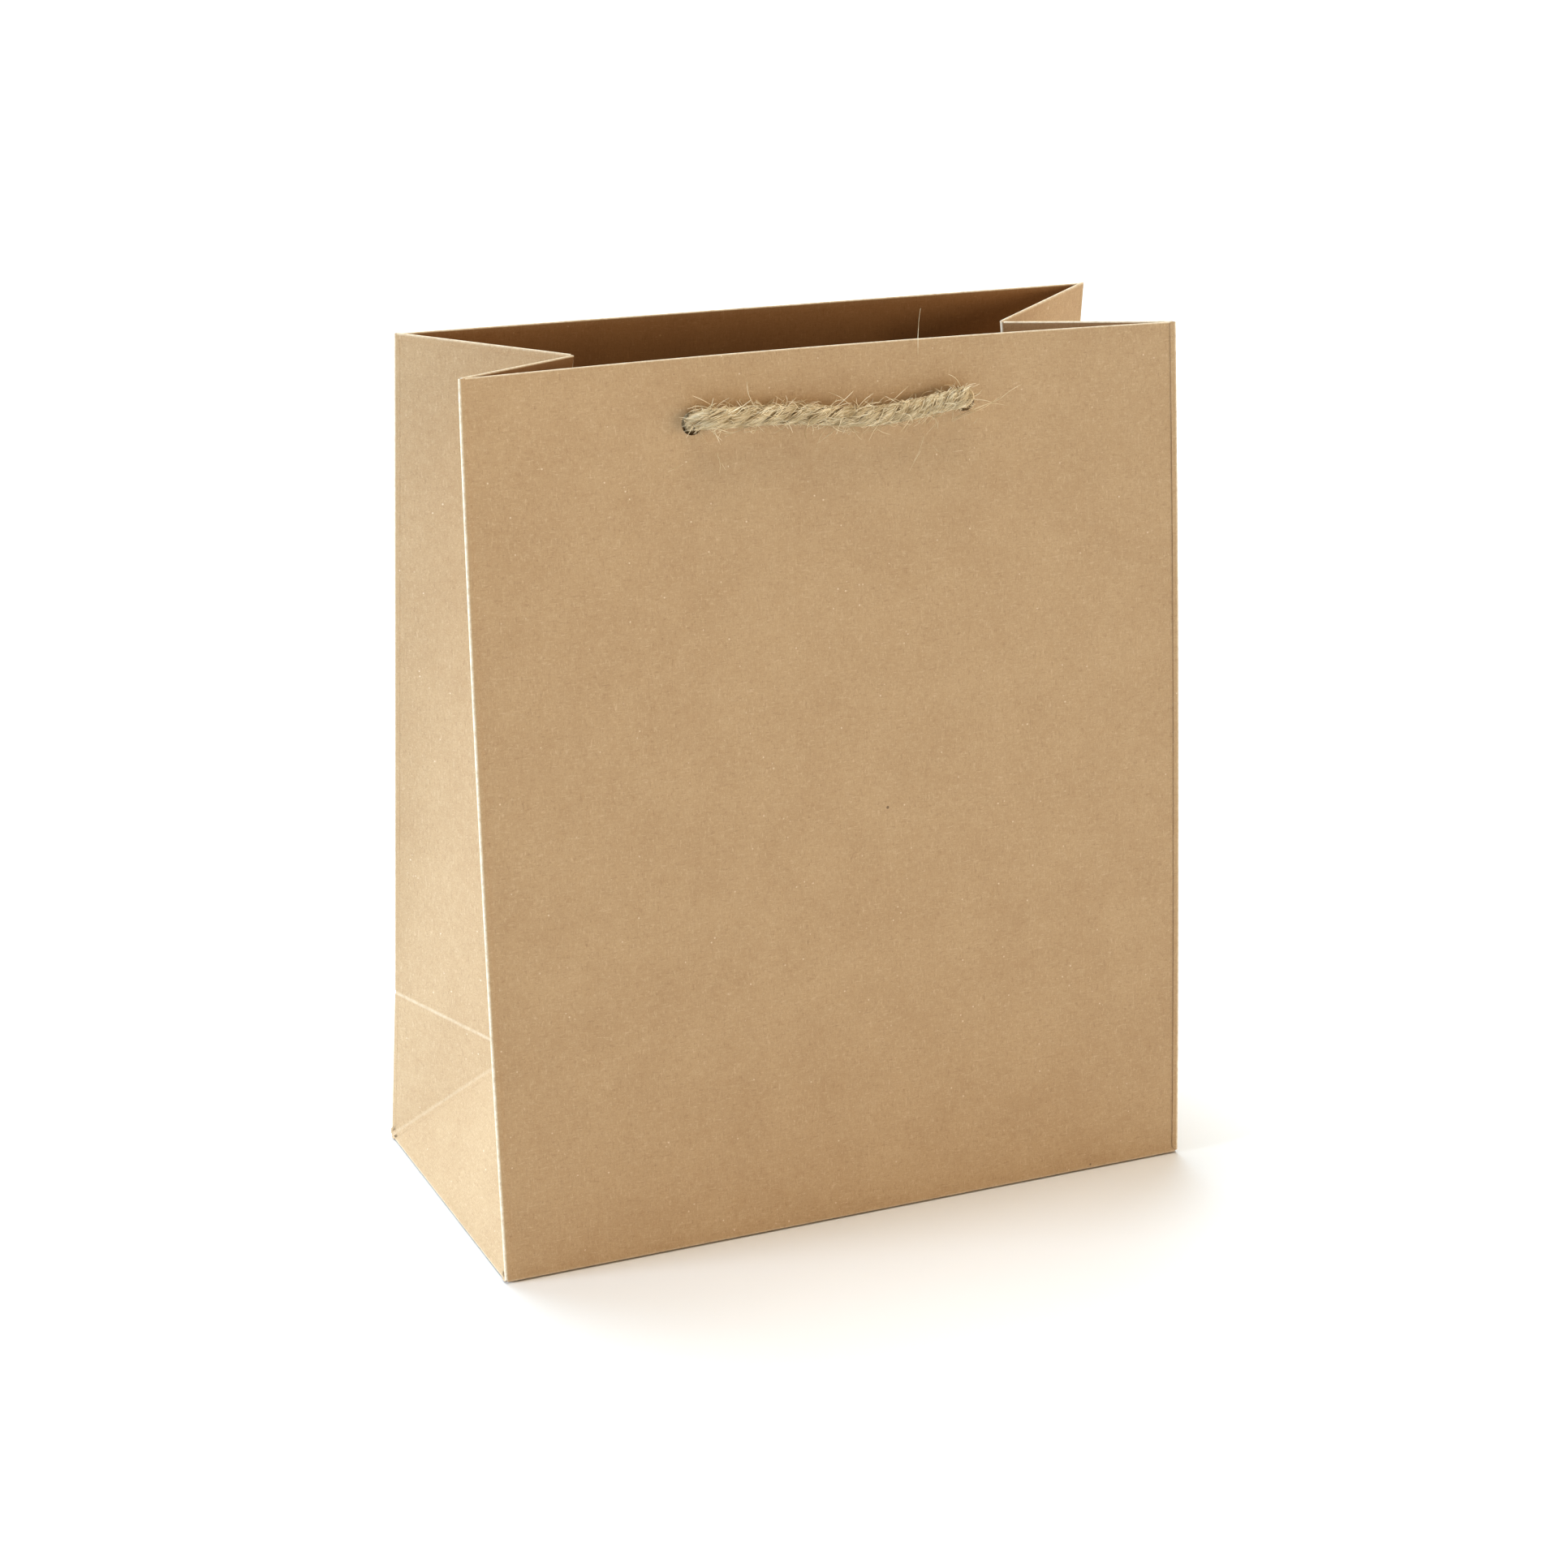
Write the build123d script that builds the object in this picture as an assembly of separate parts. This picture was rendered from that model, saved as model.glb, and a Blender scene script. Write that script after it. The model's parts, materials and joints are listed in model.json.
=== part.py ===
from build123d import *
import math
import os

# Kraft-paper gift bag with gusseted sides and two jute rope handles, standing half open.
# Millimetres. The origin is the middle of the base, on the surface the bag stands on.
# +X is the bag's right, +Y its back, +Z up. Each stretch of the folded sheet between two
# creases is a plate of its own, and its outer face lies on the planes through the creases.

# Overall sizes
panel_width = 220.0      # front and back panels, side to side
panel_height = 255.0     # front panel, base crease to rim, along the paper
gusset_depth = 102.0     # one side gusset laid flat, front edge to rear edge

# Sheet stock
paper = 0.25             # kraft paper
card = 0.35              # stiffening card inside the top hem
board = 0.8              # loose base board
hem_depth = 40.0         # paper turned in at the rim
card_depth = 36.0        # stiffening card, rim to lower edge

# Half-open pose: each angle is measured from upright, leaning into the bag
front_lean = 6.94        # front panel
heel_lean = 6.6          # back panel below its cross crease
back_lean = 3.24         # back panel above its cross crease
gusset_base_lean = 26.2  # triangle of each gusset that rises from the base
rim_drop = 3.2           # how far the gusset fold's top lies below the rim corners

# Room at the creases
crease_gap = 0.6         # plate edge to crease line
flap_gap = 0.45          # folded base flaps to the lower edge of a plate
edge_gap = 3.2           # gusset plate to a front or rear edge that folds almost shut
twist_gap = 0.5          # plate edge to a diagonal that only lets the gusset twist
centre_gap = 1.2         # plate edge to the gusset's centre crease, which folds tightest
hem_side_gap = 10.0      # turned-in paper to a front or rear edge that folds almost shut
seam_gap = 6.0           # glued side seam to the rear edge

# Base
flap_length = 62.0       # front and back base flaps, which overlap by the difference to the depth
side_flap_length = 46.0  # left and right base flaps
side_flap_tip = 12.0     # straight inner end of a left or right base flap
board_end_gap = 6.0      # base board to each gusset
board_side_gap = 4.0     # base board to the front and back panels
board_rest_gap = 0.05    # base board above the folded flaps
seam_width = 12.0        # glued overlap that closes the sheet into a tube

# Handles
hole_spacing = 84.0      # centre to centre
hole_from_rim = 18.1     # rim to hole centre, along the paper
hole_diameter = 6.5
rope_diameter = 5.5
knot_diameter = 13.0
knot_overlap = 1.2       # flat on the knot's top where the rope comes out
end_length = 11.0        # frayed rope end below each knot

# Rope routes, left knot to right knot, as they hang
front_route = [
    (-44.0, -14.2, 121.0),
    (-43.2, -15.8, 158.0),
    (-42.6, -14.9, 196.0),
    (-42.4, -14.9, 220.9),
    (-42.0, -15.4, 234.3),
    (-42.0, -28.8, 236.0),
    (-28.0, -26.6, 234.6),
    (-12.0, -25.8, 233.8),
    (6.0, -25.9, 232.9),
    (20.0, -26.2, 232.8),
    (28.5, -26.9, 233.8),
    (42.0, -28.8, 236.0),
    (42.0, -15.4, 234.3),
    (42.5, -14.8, 219.9),
    (42.3, -14.6, 192.0),
    (43.4, -15.6, 153.0),
    (43.0, -14.0, 116.0),
]
back_route = [
    (-43.2, 26.4, 118.0),
    (-42.4, 27.9, 155.0),
    (-43.0, 27.2, 193.0),
    (-42.4, 27.5, 221.9),
    (-42.0, 27.8, 235.8),
    (-42.0, 41.3, 236.6),
    (-28.5, 39.5, 235.1),
    (-13.0, 38.7, 233.7),
    (3.0, 38.5, 233.2),
    (17.0, 38.8, 233.8),
    (28.5, 39.5, 234.9),
    (42.0, 41.3, 236.6),
    (42.0, 27.8, 235.8),
    (42.6, 27.4, 221.4),
    (43.2, 27.0, 190.0),
    (42.6, 27.7, 152.0),
    (43.8, 26.2, 114.0),
]

# Creases of the left half; the right half mirrors it
half_width = panel_width / 2
half_depth = gusset_depth / 2
bag_middle = Vector(0, 0, panel_height / 2)
base_gap = 3 * paper + flap_gap


def rising(length, lean, towards):
    """A run up the paper that leans towards +Y (1) or -Y (-1)."""
    angle = math.radians(lean)
    return Vector(0, towards * length * math.sin(angle), length * math.cos(angle))


def gusset_base_point():
    """Where the four base creases of a gusset meet, half the depth up its leaning triangle."""
    angle = math.radians(gusset_base_lean)
    inward = half_depth * math.sin(angle)
    height = half_depth * math.cos(angle)
    return Vector(inward - half_width, 0, height)


def rim_fold_point(front_corner, rear_corner):
    """Top of the gusset's centre crease, half the depth away from both rim corners."""
    middle = (front_corner + rear_corner) / 2
    half_mouth = (rear_corner - front_corner).length / 2
    reach = math.sqrt(half_depth ** 2 - half_mouth ** 2)
    inward = math.sqrt(reach ** 2 - rim_drop ** 2)
    return middle + Vector(inward, 0, -rim_drop)


front_base = Vector(-half_width, -half_depth, 0)
back_base = Vector(-half_width, half_depth, 0)
front_rim = front_base + rising(panel_height, front_lean, 1)
heel = back_base + rising(half_depth, heel_lean, -1)
back_rim = heel + rising(panel_height - half_depth, back_lean, -1)
fold_base = gusset_base_point()
fold_rim = rim_fold_point(front_rim, back_rim)


def mirrored(point):
    """The same crease point on the right half."""
    return Vector(-point.X, point.Y, point.Z)


def turned_area(corners):
    """Positive when the flat corners run anticlockwise."""
    total = 0.0
    for here, ahead in zip(corners, corners[1:] + corners[:1]):
        total += here.X * ahead.Y - ahead.X * here.Y
    return total


def crossing(first, second):
    """Where two flat lines meet; each is a point and a direction."""
    (start, along), (other, across) = first, second
    gap = other - start
    share = (gap.X * across.Y - gap.Y * across.X) / (along.X * across.Y - along.Y * across.X)
    return start + along * share


def held_back(corners, gaps):
    """The flat outline with each edge moved inward by its own gap."""
    side = 1 if turned_area(corners) > 0 else -1
    edges = []
    for here, ahead, gap in zip(corners, corners[1:] + corners[:1], gaps):
        along = (ahead - here).normalized()
        inward = Vector(-along.Y, along.X, 0) * side
        edges.append((here + inward * gap, along))
    return [crossing(edges[i - 1], edges[i]) for i in range(len(edges))]


def paper_plane(corners):
    """Plane of a plate's outer face, with its z towards the inside of the bag."""
    normal = (corners[1] - corners[0]).cross(corners[2] - corners[0]).normalized()
    if normal.dot(bag_middle - corners[0]) < 0:
        normal = normal * -1
    return Plane(origin=corners[0], x_dir=corners[1] - corners[0], z_dir=normal)


def plate(corners, gaps, thickness=paper, depth=0.0):
    """A flat sheet between creases; depth is how far its outer face lies inside the crease plane."""
    plane = paper_plane(corners)
    flat = [plane.to_local_coords(corner) for corner in corners]
    outline = [(point.X, point.Y) for point in held_back(flat, gaps)]
    sheet = extrude(make_face(Polyline(*outline, close=True)), thickness, dir=(0, 0, 1))
    return plane.offset(depth) * sheet


def between(start, end, length):
    """The point at a length along the way from start to end."""
    return start + (end - start).normalized() * length


def panel_corners(lower, upper):
    """Corners of a panel as wide as the bag, from its left creases."""
    return [lower, mirrored(lower), mirrored(upper), upper]


def rim_strip(lower, upper, depth_down):
    """Corners of the part of a panel within a distance of its rim."""
    return panel_corners(between(upper, lower, depth_down), upper)


def punched(sheet, lower, upper):
    """Punch the two handle holes square through a panel's sheet."""
    plane = paper_plane(panel_corners(lower, upper))
    centre = between(upper, lower, hole_from_rim)
    for side in (-1, 1):
        middle = Vector(side * hole_spacing / 2, centre.Y, centre.Z)
        punch = Plane(origin=middle, z_dir=plane.z_dir) * Cylinder(hole_diameter / 2, 10)
        sheet -= punch
    return sheet


def handle_panel(lower, upper):
    """Front panel, or the back panel above its cross crease, with its holes."""
    gaps = [base_gap, crease_gap, 0, crease_gap]
    return punched(plate(panel_corners(lower, upper), gaps), lower, upper)


def stiffener(lower, upper):
    """Card strip under the rim, wrapped by the turned-in paper."""
    top = between(upper, lower, paper)
    gaps = [0, hem_side_gap, 0, hem_side_gap]
    strip = plate(panel_corners(between(upper, lower, card_depth), top), gaps, card, paper)
    return punched(strip, lower, upper)


def panel_hem(lower, upper):
    """Paper turned in over the card, with the fold that passes over the card's top."""
    gaps = [0, hem_side_gap, 0, hem_side_gap]
    inner = plate(rim_strip(lower, upper, hem_depth), gaps, paper, paper + card)
    over = plate(rim_strip(lower, upper, paper), gaps, card, paper)
    return punched(inner + over, lower, upper)


def gusset_hem(rim_corner, fold_corner, rim_end, fold_end):
    """Turned-in paper of half a gusset: rim_end and fold_end are where its two sides run down to."""
    across = (fold_corner - rim_corner).normalized()
    down = rim_end - rim_corner
    square_down = (down - across * down.dot(across)).length
    share = hem_depth / square_down
    lower_rim = rim_corner + down * share
    fold_down = fold_end - fold_corner
    square_fold = (fold_down - across * fold_down.dot(across)).length
    lower_fold = fold_corner + fold_down * (hem_depth / square_fold)
    corners = [rim_corner, fold_corner, lower_fold, lower_rim]
    return plate(corners, [0, 2 * centre_gap, 0, hem_side_gap], paper, paper)


def side_seam(lower, upper, lower_gap):
    """Glued overlap on the inside of the back panel, along its right edge."""
    right_lower = mirrored(lower)
    right_upper = mirrored(upper)
    inset = Vector(seam_gap, 0, 0)
    strip = Vector(seam_gap + seam_width, 0, 0)
    corners = [right_lower - inset, right_lower - strip, right_upper - strip, right_upper - inset]
    return plate(corners, [lower_gap, 0, crease_gap, 0], paper, paper)


def base_flap(corners, layer):
    """A flat base flap, lying on the ones below it."""
    outline = make_face(Polyline(*corners, close=True))
    return Pos(0, 0, layer * paper) * extrude(outline, paper, dir=(0, 0, 1))


def long_flap(towards, layer):
    """Base flap folded under from the front (-1) or back (1) panel."""
    edge = towards * (half_depth - crease_gap)
    inner = towards * (half_depth - flap_length)
    end = half_width - crease_gap
    return base_flap([(-end, edge), (end, edge), (end, inner), (-end, inner)], layer)


def side_flap(layer):
    """Base flap folded in from the left gusset, with mitred corners."""
    edge = -half_width + crease_gap
    inner = -half_width + side_flap_length
    wide = half_depth - crease_gap
    tip = side_flap_tip / 2
    return base_flap([(edge, -wide), (inner, -tip), (inner, tip), (edge, wide)], layer)


def base_board():
    """Loose card that lies on the folded base flaps."""
    length = panel_width - 2 * board_end_gap
    width = gusset_depth - 2 * board_side_gap
    bottom = 3 * paper + board_rest_gap
    return Pos(0, 0, bottom + board / 2) * Box(length, width, board)


def corner_radii(points):
    """The widest arc that the two runs beside each corner of a route allow."""
    radii = []
    for before, corner, after in zip(points, points[1:], points[2:]):
        arriving = corner - before
        leaving = after - corner
        half_turn = math.radians(arriving.get_angle(leaving) / 2)
        radii.append(0.45 * min(arriving.length, leaving.length) / math.tan(half_turn))
    return radii


def rope(name, route):
    """A handle's rope from knot to knot, as straight runs joined by tangent arcs."""
    points = [Vector(*point) for point in route]
    radii = corner_radii(points)
    path = FilletPolyline(*points, radius=radii)
    section = Plane(origin=path @ 0, z_dir=path % 0) * Circle(rope_diameter / 2)
    tube = sweep(section, path)
    print(name, "length", round(path.length, 1), "radii", [round(radius, 1) for radius in radii])
    print(name, "volume", round(tube.volume), "of", round(math.pi * rope_diameter ** 2 / 4 * path.length))
    return tube


def knot(end, before):
    """Overhand knot on a rope's end, with the frayed end hanging out of it."""
    hanging = (Vector(*end) - Vector(*before)).normalized()
    top = Plane(origin=Vector(*end), z_dir=hanging)
    radius = knot_diameter / 2
    centre = radius - knot_overlap
    ball = Pos(0, 0, centre) * Sphere(radius)
    ball -= Pos(0, 0, -radius) * Box(2 * radius, 2 * radius, 2 * radius)
    length = centre + radius + end_length
    tail = Pos(0, 0, length / 2) * Cylinder(rope_diameter / 2, length)
    return top * (ball + tail)


def front_fold():
    """Inner part of the gusset's front half; its sharp corner stops short of the front edge."""
    along_edge = (front_rim - front_base).normalized()
    diagonal = fold_base - front_rim
    across = (diagonal - along_edge * diagonal.dot(along_edge)).length
    below_rim = front_rim + diagonal * (edge_gap / across)
    along_rim = between(front_rim, fold_rim, edge_gap)
    corners = [fold_base, fold_rim, along_rim, below_rim]
    return plate(corners, [centre_gap, 0, 0, twist_gap])


def gusset():
    """The six flat triangles of the left gusset and the turned-in paper at its rim."""
    twist = twist_gap
    crease = crease_gap
    return {
        "base_triangle": plate([front_base, back_base, fold_base], [base_gap, crease, crease]),
        "heel_triangle": plate([back_base, heel, fold_base], [crease] * 3),
        "front_edge": plate([front_base, fold_base, front_rim], [crease, twist, crease]),
        "front_fold": front_fold(),
        "rear_edge": plate([heel, fold_rim, back_rim], [twist, 0, edge_gap]),
        "rear_fold": plate([heel, fold_base, fold_rim], [crease, centre_gap, twist]),
        "front_hem": gusset_hem(front_rim, fold_rim, fold_base, fold_base),
        "rear_hem": gusset_hem(back_rim, fold_rim, heel, heel),
    }


def handle(side, route):
    """One rope handle: the rope and its two knots."""
    return {
        f"{side}_handle_rope": rope(f"{side}_handle_rope", route),
        f"{side}_knot_left": knot(route[0], route[1]),
        f"{side}_knot_right": knot(route[-1], route[-2]),
    }


def bag():
    """Every piece of the bag by name."""
    left_flap = side_flap(2)
    pieces = {
        "base_flap_front": long_flap(-1, 0),
        "base_flap_back": long_flap(1, 1),
        "base_flap_left": left_flap,
        "base_flap_right": mirror(left_flap, about=Plane.YZ),
        "base_board": base_board(),
        "front_panel": handle_panel(front_base, front_rim),
        "front_stiffening_card": stiffener(front_base, front_rim),
        "front_top_hem": panel_hem(front_base, front_rim),
        "back_panel_lower": plate(panel_corners(back_base, heel), [base_gap] + [crease_gap] * 3),
        "back_panel": handle_panel(heel, back_rim),
        "back_stiffening_card": stiffener(heel, back_rim),
        "back_top_hem": panel_hem(heel, back_rim),
        "side_seam_lower": side_seam(back_base, heel, base_gap),
        "side_seam_upper": side_seam(heel, between(back_rim, heel, hem_depth), crease_gap),
    }
    pieces.update(handle("front", front_route))
    pieces.update(handle("back", back_route))
    for name, piece in gusset().items():
        pieces[f"gusset_left_{name}"] = piece
        pieces[f"gusset_right_{name}"] = mirror(piece, about=Plane.YZ)
    return pieces


os.makedirs("parts", exist_ok=True)
for node, solid in bag().items():
    export_step(solid, f"parts/{node}.step")
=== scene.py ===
import json
import math
import random

import bmesh
import bpy
from mathutils import Euler, Matrix, Vector, noise

# A kraft-paper gift bag that stands half open: folded paper sheets with rounded, worn
# creases between them, a turned-in rim over card strips, and two jute rope handles.
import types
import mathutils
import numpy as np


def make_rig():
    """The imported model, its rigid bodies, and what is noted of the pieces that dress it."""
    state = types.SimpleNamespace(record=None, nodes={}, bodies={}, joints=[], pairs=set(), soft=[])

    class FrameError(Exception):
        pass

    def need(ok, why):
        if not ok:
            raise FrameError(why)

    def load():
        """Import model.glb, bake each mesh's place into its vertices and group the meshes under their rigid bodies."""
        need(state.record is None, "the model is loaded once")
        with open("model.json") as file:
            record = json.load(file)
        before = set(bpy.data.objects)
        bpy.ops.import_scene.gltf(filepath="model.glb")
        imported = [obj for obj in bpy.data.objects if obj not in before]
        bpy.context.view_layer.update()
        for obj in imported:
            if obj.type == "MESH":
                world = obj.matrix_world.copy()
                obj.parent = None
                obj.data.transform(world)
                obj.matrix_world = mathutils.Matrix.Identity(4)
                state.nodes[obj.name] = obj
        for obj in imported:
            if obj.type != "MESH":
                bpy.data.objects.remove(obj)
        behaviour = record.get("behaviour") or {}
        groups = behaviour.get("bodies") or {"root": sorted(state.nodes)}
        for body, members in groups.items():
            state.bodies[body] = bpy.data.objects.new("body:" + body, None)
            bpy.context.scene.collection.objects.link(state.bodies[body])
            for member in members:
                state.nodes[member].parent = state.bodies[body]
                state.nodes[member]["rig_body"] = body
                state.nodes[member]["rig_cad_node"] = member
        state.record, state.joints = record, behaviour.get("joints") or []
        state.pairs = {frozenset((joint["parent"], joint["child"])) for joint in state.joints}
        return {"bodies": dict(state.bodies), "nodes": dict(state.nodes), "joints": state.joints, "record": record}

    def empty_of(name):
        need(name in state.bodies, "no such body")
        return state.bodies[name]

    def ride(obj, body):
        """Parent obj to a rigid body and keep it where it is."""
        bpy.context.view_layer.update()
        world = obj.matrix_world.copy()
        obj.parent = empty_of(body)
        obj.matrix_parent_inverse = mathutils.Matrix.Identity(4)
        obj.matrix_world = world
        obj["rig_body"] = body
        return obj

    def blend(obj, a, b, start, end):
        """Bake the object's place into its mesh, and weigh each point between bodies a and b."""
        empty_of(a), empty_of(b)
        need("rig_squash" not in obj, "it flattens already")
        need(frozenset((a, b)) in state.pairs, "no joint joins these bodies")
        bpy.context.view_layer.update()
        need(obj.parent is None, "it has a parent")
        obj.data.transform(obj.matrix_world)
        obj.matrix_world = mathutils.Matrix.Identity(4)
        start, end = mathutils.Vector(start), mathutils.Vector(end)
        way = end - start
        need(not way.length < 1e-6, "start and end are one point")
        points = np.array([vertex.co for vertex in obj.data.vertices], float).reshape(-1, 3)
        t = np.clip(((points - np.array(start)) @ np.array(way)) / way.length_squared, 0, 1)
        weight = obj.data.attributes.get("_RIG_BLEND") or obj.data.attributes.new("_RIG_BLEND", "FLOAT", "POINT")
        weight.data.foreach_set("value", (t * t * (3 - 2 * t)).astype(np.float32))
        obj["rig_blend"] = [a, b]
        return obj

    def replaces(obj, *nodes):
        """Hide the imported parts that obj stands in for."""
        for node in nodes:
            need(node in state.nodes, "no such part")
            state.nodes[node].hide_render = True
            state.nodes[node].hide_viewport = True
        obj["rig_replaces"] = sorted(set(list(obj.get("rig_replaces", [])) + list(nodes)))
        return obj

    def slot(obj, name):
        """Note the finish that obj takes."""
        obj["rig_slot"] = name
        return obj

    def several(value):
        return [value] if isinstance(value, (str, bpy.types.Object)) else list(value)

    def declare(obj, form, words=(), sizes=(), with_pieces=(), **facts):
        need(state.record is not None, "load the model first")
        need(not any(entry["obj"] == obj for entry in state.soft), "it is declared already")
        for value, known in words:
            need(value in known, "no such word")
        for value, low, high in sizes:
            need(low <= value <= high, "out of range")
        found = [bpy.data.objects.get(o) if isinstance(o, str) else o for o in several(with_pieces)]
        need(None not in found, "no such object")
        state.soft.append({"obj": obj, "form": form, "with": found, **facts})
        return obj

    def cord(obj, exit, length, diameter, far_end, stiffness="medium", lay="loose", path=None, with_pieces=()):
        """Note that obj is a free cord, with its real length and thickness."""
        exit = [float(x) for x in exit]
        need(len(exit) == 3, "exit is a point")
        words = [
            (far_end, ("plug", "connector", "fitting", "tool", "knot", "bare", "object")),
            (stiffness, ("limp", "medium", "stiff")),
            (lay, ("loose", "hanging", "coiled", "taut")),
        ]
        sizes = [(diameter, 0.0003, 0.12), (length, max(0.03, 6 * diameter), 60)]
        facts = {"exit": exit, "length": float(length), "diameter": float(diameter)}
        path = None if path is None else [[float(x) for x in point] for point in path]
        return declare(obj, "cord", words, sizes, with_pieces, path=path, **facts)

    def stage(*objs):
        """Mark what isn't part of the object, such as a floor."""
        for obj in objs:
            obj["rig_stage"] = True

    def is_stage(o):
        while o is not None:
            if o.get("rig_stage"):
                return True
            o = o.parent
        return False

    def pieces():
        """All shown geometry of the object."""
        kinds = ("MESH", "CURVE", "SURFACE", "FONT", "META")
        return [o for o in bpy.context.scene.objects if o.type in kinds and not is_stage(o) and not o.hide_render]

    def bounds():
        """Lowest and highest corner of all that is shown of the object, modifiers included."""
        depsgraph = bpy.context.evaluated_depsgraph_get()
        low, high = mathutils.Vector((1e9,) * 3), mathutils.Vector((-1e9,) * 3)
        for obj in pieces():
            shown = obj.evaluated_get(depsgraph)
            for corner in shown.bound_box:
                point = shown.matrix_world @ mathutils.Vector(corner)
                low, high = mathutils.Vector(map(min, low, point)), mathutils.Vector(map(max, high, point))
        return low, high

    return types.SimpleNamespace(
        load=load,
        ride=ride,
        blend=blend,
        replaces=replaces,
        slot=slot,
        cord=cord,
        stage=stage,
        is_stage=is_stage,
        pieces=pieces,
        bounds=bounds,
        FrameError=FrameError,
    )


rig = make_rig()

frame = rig.load()
cad_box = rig.bounds()

MM = 0.001

# Paper
PAPER = 0.25 * MM            # sheet
PROUD = 0.03 * MM            # a crease stands this far out of the sheets beside it
CREASE_HALF = 0.75 * MM      # rounded part of a crease, each side of its line
CREASE_REACH = 1.9 * MM      # half a crease piece's width
SHEET_GAP = 0.95 * MM        # sheet edge to crease line, hidden in the crease piece
LAP = 2.4 * MM               # centre crease's lap on the front half
RIM_EAR = 1.6 * MM           # outer leg of the paper that folds over the rim
PANEL_RIM = 0.85 * MM        # rim with the card inside
GUSSET_RIM = 0.5 * MM        # rim without card
HEM_DEPTH = 40 * MM
HEM_SIDE_GAP = 10 * MM
CARD_THICKNESS = 0.35 * MM
CARD_DEPTH = 36 * MM
CARD_BELOW_RIM = 1.2 * MM
CARD_WIDTH = 200 * MM
PANEL_WIDTH = 220 * MM
LAYER_GAP = 0.02 * MM        # air between two sheets that lie on each other
RIM_BOW = 4.5 * MM           # the front's rim, drawn in at its middle
SIDE_BULGE = 0.8 * MM        # the front's side creases, pushed out at half height

# Handles
HOLE_SPACING = 84 * MM
HOLE_FROM_RIM = 18.1 * MM
HOLE_DIAMETER = 6.5 * MM
ROPE_DIAMETER = 5.5 * MM
KNOT_ROPE_DIAMETER = 4.6 * MM   # the rope is drawn tight in its knots
FIBRE_THICKNESS = 0.17 * MM
STRAND_YARNS = 6                # ridges round one strand
STRAND_RADIUS = 0.238           # as a share of the rope's diameter
STRAND_OFFSET = 0.272           # strand centre from the rope's centre, likewise
FRONT_ROPE_LENGTH = 332.9 * MM
BACK_ROPE_LENGTH = 340.4 * MM


def point(x, y, z):
    """A place given in millimetres."""
    return Vector((x, y, z)) * MM


# Where the creases of the left half meet; the right half mirrors them
FRONT_BASE = point(-110, -51, 0)
BACK_BASE = point(-110, 51, 0)
FRONT_RIM = point(-110, -20.19, 253.13)
HEEL = point(-110, 45.14, 50.66)
BACK_RIM = point(-110, 33.61, 254.34)
FOLD_BASE = point(-87.48, 0, 45.76)
FOLD_RIM = point(-66.79, 6.71, 250.53)
MIDDLE = point(0, 0, 125)
DOWN = Vector((0, 0, -1))

FRONT_ROUTE = [
    (-44.0, -14.2, 121.0),
    (-43.2, -15.8, 158.0),
    (-42.6, -14.7, 196.0),
    (-42.4, -14.0, 220.9),
    (-42.0, -13.4, 234.6),
    (-41.4, -24.6, 237.6),
    (-30.0, -22.1, 236.6),
    (-20.0, -21.8, 236.5),
    (-12.0, -21.7, 236.0),
    (-5.0, -21.8, 235.1),
    (3.0, -21.9, 234.2),
    (10.0, -22.0, 233.5),
    (17.0, -22.1, 233.7),
    (24.0, -22.2, 234.4),
    (31.0, -22.2, 235.5),
    (40.7, -24.6, 237.6),
    (42.0, -13.4, 234.6),
    (42.5, -13.9, 219.9),
    (42.3, -14.4, 192.0),
    (43.4, -15.6, 153.0),
    (43.0, -14.0, 116.0),
]
BACK_ROUTE = [
    (-43.2, 26.4, 118.0),
    (-42.4, 27.9, 155.0),
    (-43.0, 27.2, 193.0),
    (-42.4, 27.5, 221.9),
    (-42.0, 27.8, 235.8),
    (-42.0, 41.3, 236.6),
    (-28.5, 39.5, 235.1),
    (-13.0, 38.7, 233.7),
    (3.0, 38.5, 233.2),
    (17.0, 38.8, 233.8),
    (28.5, 39.5, 234.9),
    (42.0, 41.3, 236.6),
    (42.0, 27.8, 235.8),
    (42.6, 27.4, 221.4),
    (43.2, 27.0, 190.0),
    (42.6, 27.7, 152.0),
    (43.8, 26.2, 114.0),
]


# ---------------------------------------------------------------- materials

def material_tree(name):
    """A new material with its principled shader."""
    material = bpy.data.materials.new(name)
    material.use_nodes = True
    tree = material.node_tree
    shader = tree.nodes["Principled BSDF"]
    return material, tree, shader


def add(tree, kind, **inputs):
    """One node with its input values; a socket given as a value is linked."""
    node = tree.nodes.new(kind)
    for key, value in inputs.items():
        name = key.replace("_", " ")
        if isinstance(value, bpy.types.NodeSocket):
            tree.links.new(value, node.inputs[name])
        else:
            node.inputs[name].default_value = value
    return node


def mixed(tree, share, first, second, blend="MIX"):
    """Colour between first and second by share."""
    node = tree.nodes.new("ShaderNodeMix")
    node.data_type = "RGBA"
    node.blend_type = blend
    for socket, value in ((node.inputs[0], share), (node.inputs[6], first), (node.inputs[7], second)):
        if isinstance(value, bpy.types.NodeSocket):
            tree.links.new(value, socket)
        else:
            socket.default_value = value
    return node.outputs[2]


def stretched(tree, scale):
    """The piece's own coordinates, stretched by a scale for each direction."""
    coordinates = add(tree, "ShaderNodeTexCoord")
    node = tree.nodes.new("ShaderNodeMapping")
    tree.links.new(coordinates.outputs["Object"], node.inputs["Vector"])
    node.inputs["Scale"].default_value = scale
    return node.outputs["Vector"]


def noisy(tree, vector, scale, detail=3.0, roughness=0.5):
    """Noise over a vector."""
    node = add(tree, "ShaderNodeTexNoise", Vector=vector, Scale=scale, Detail=detail,
               Roughness=roughness)
    return node.outputs["Fac"]


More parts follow.
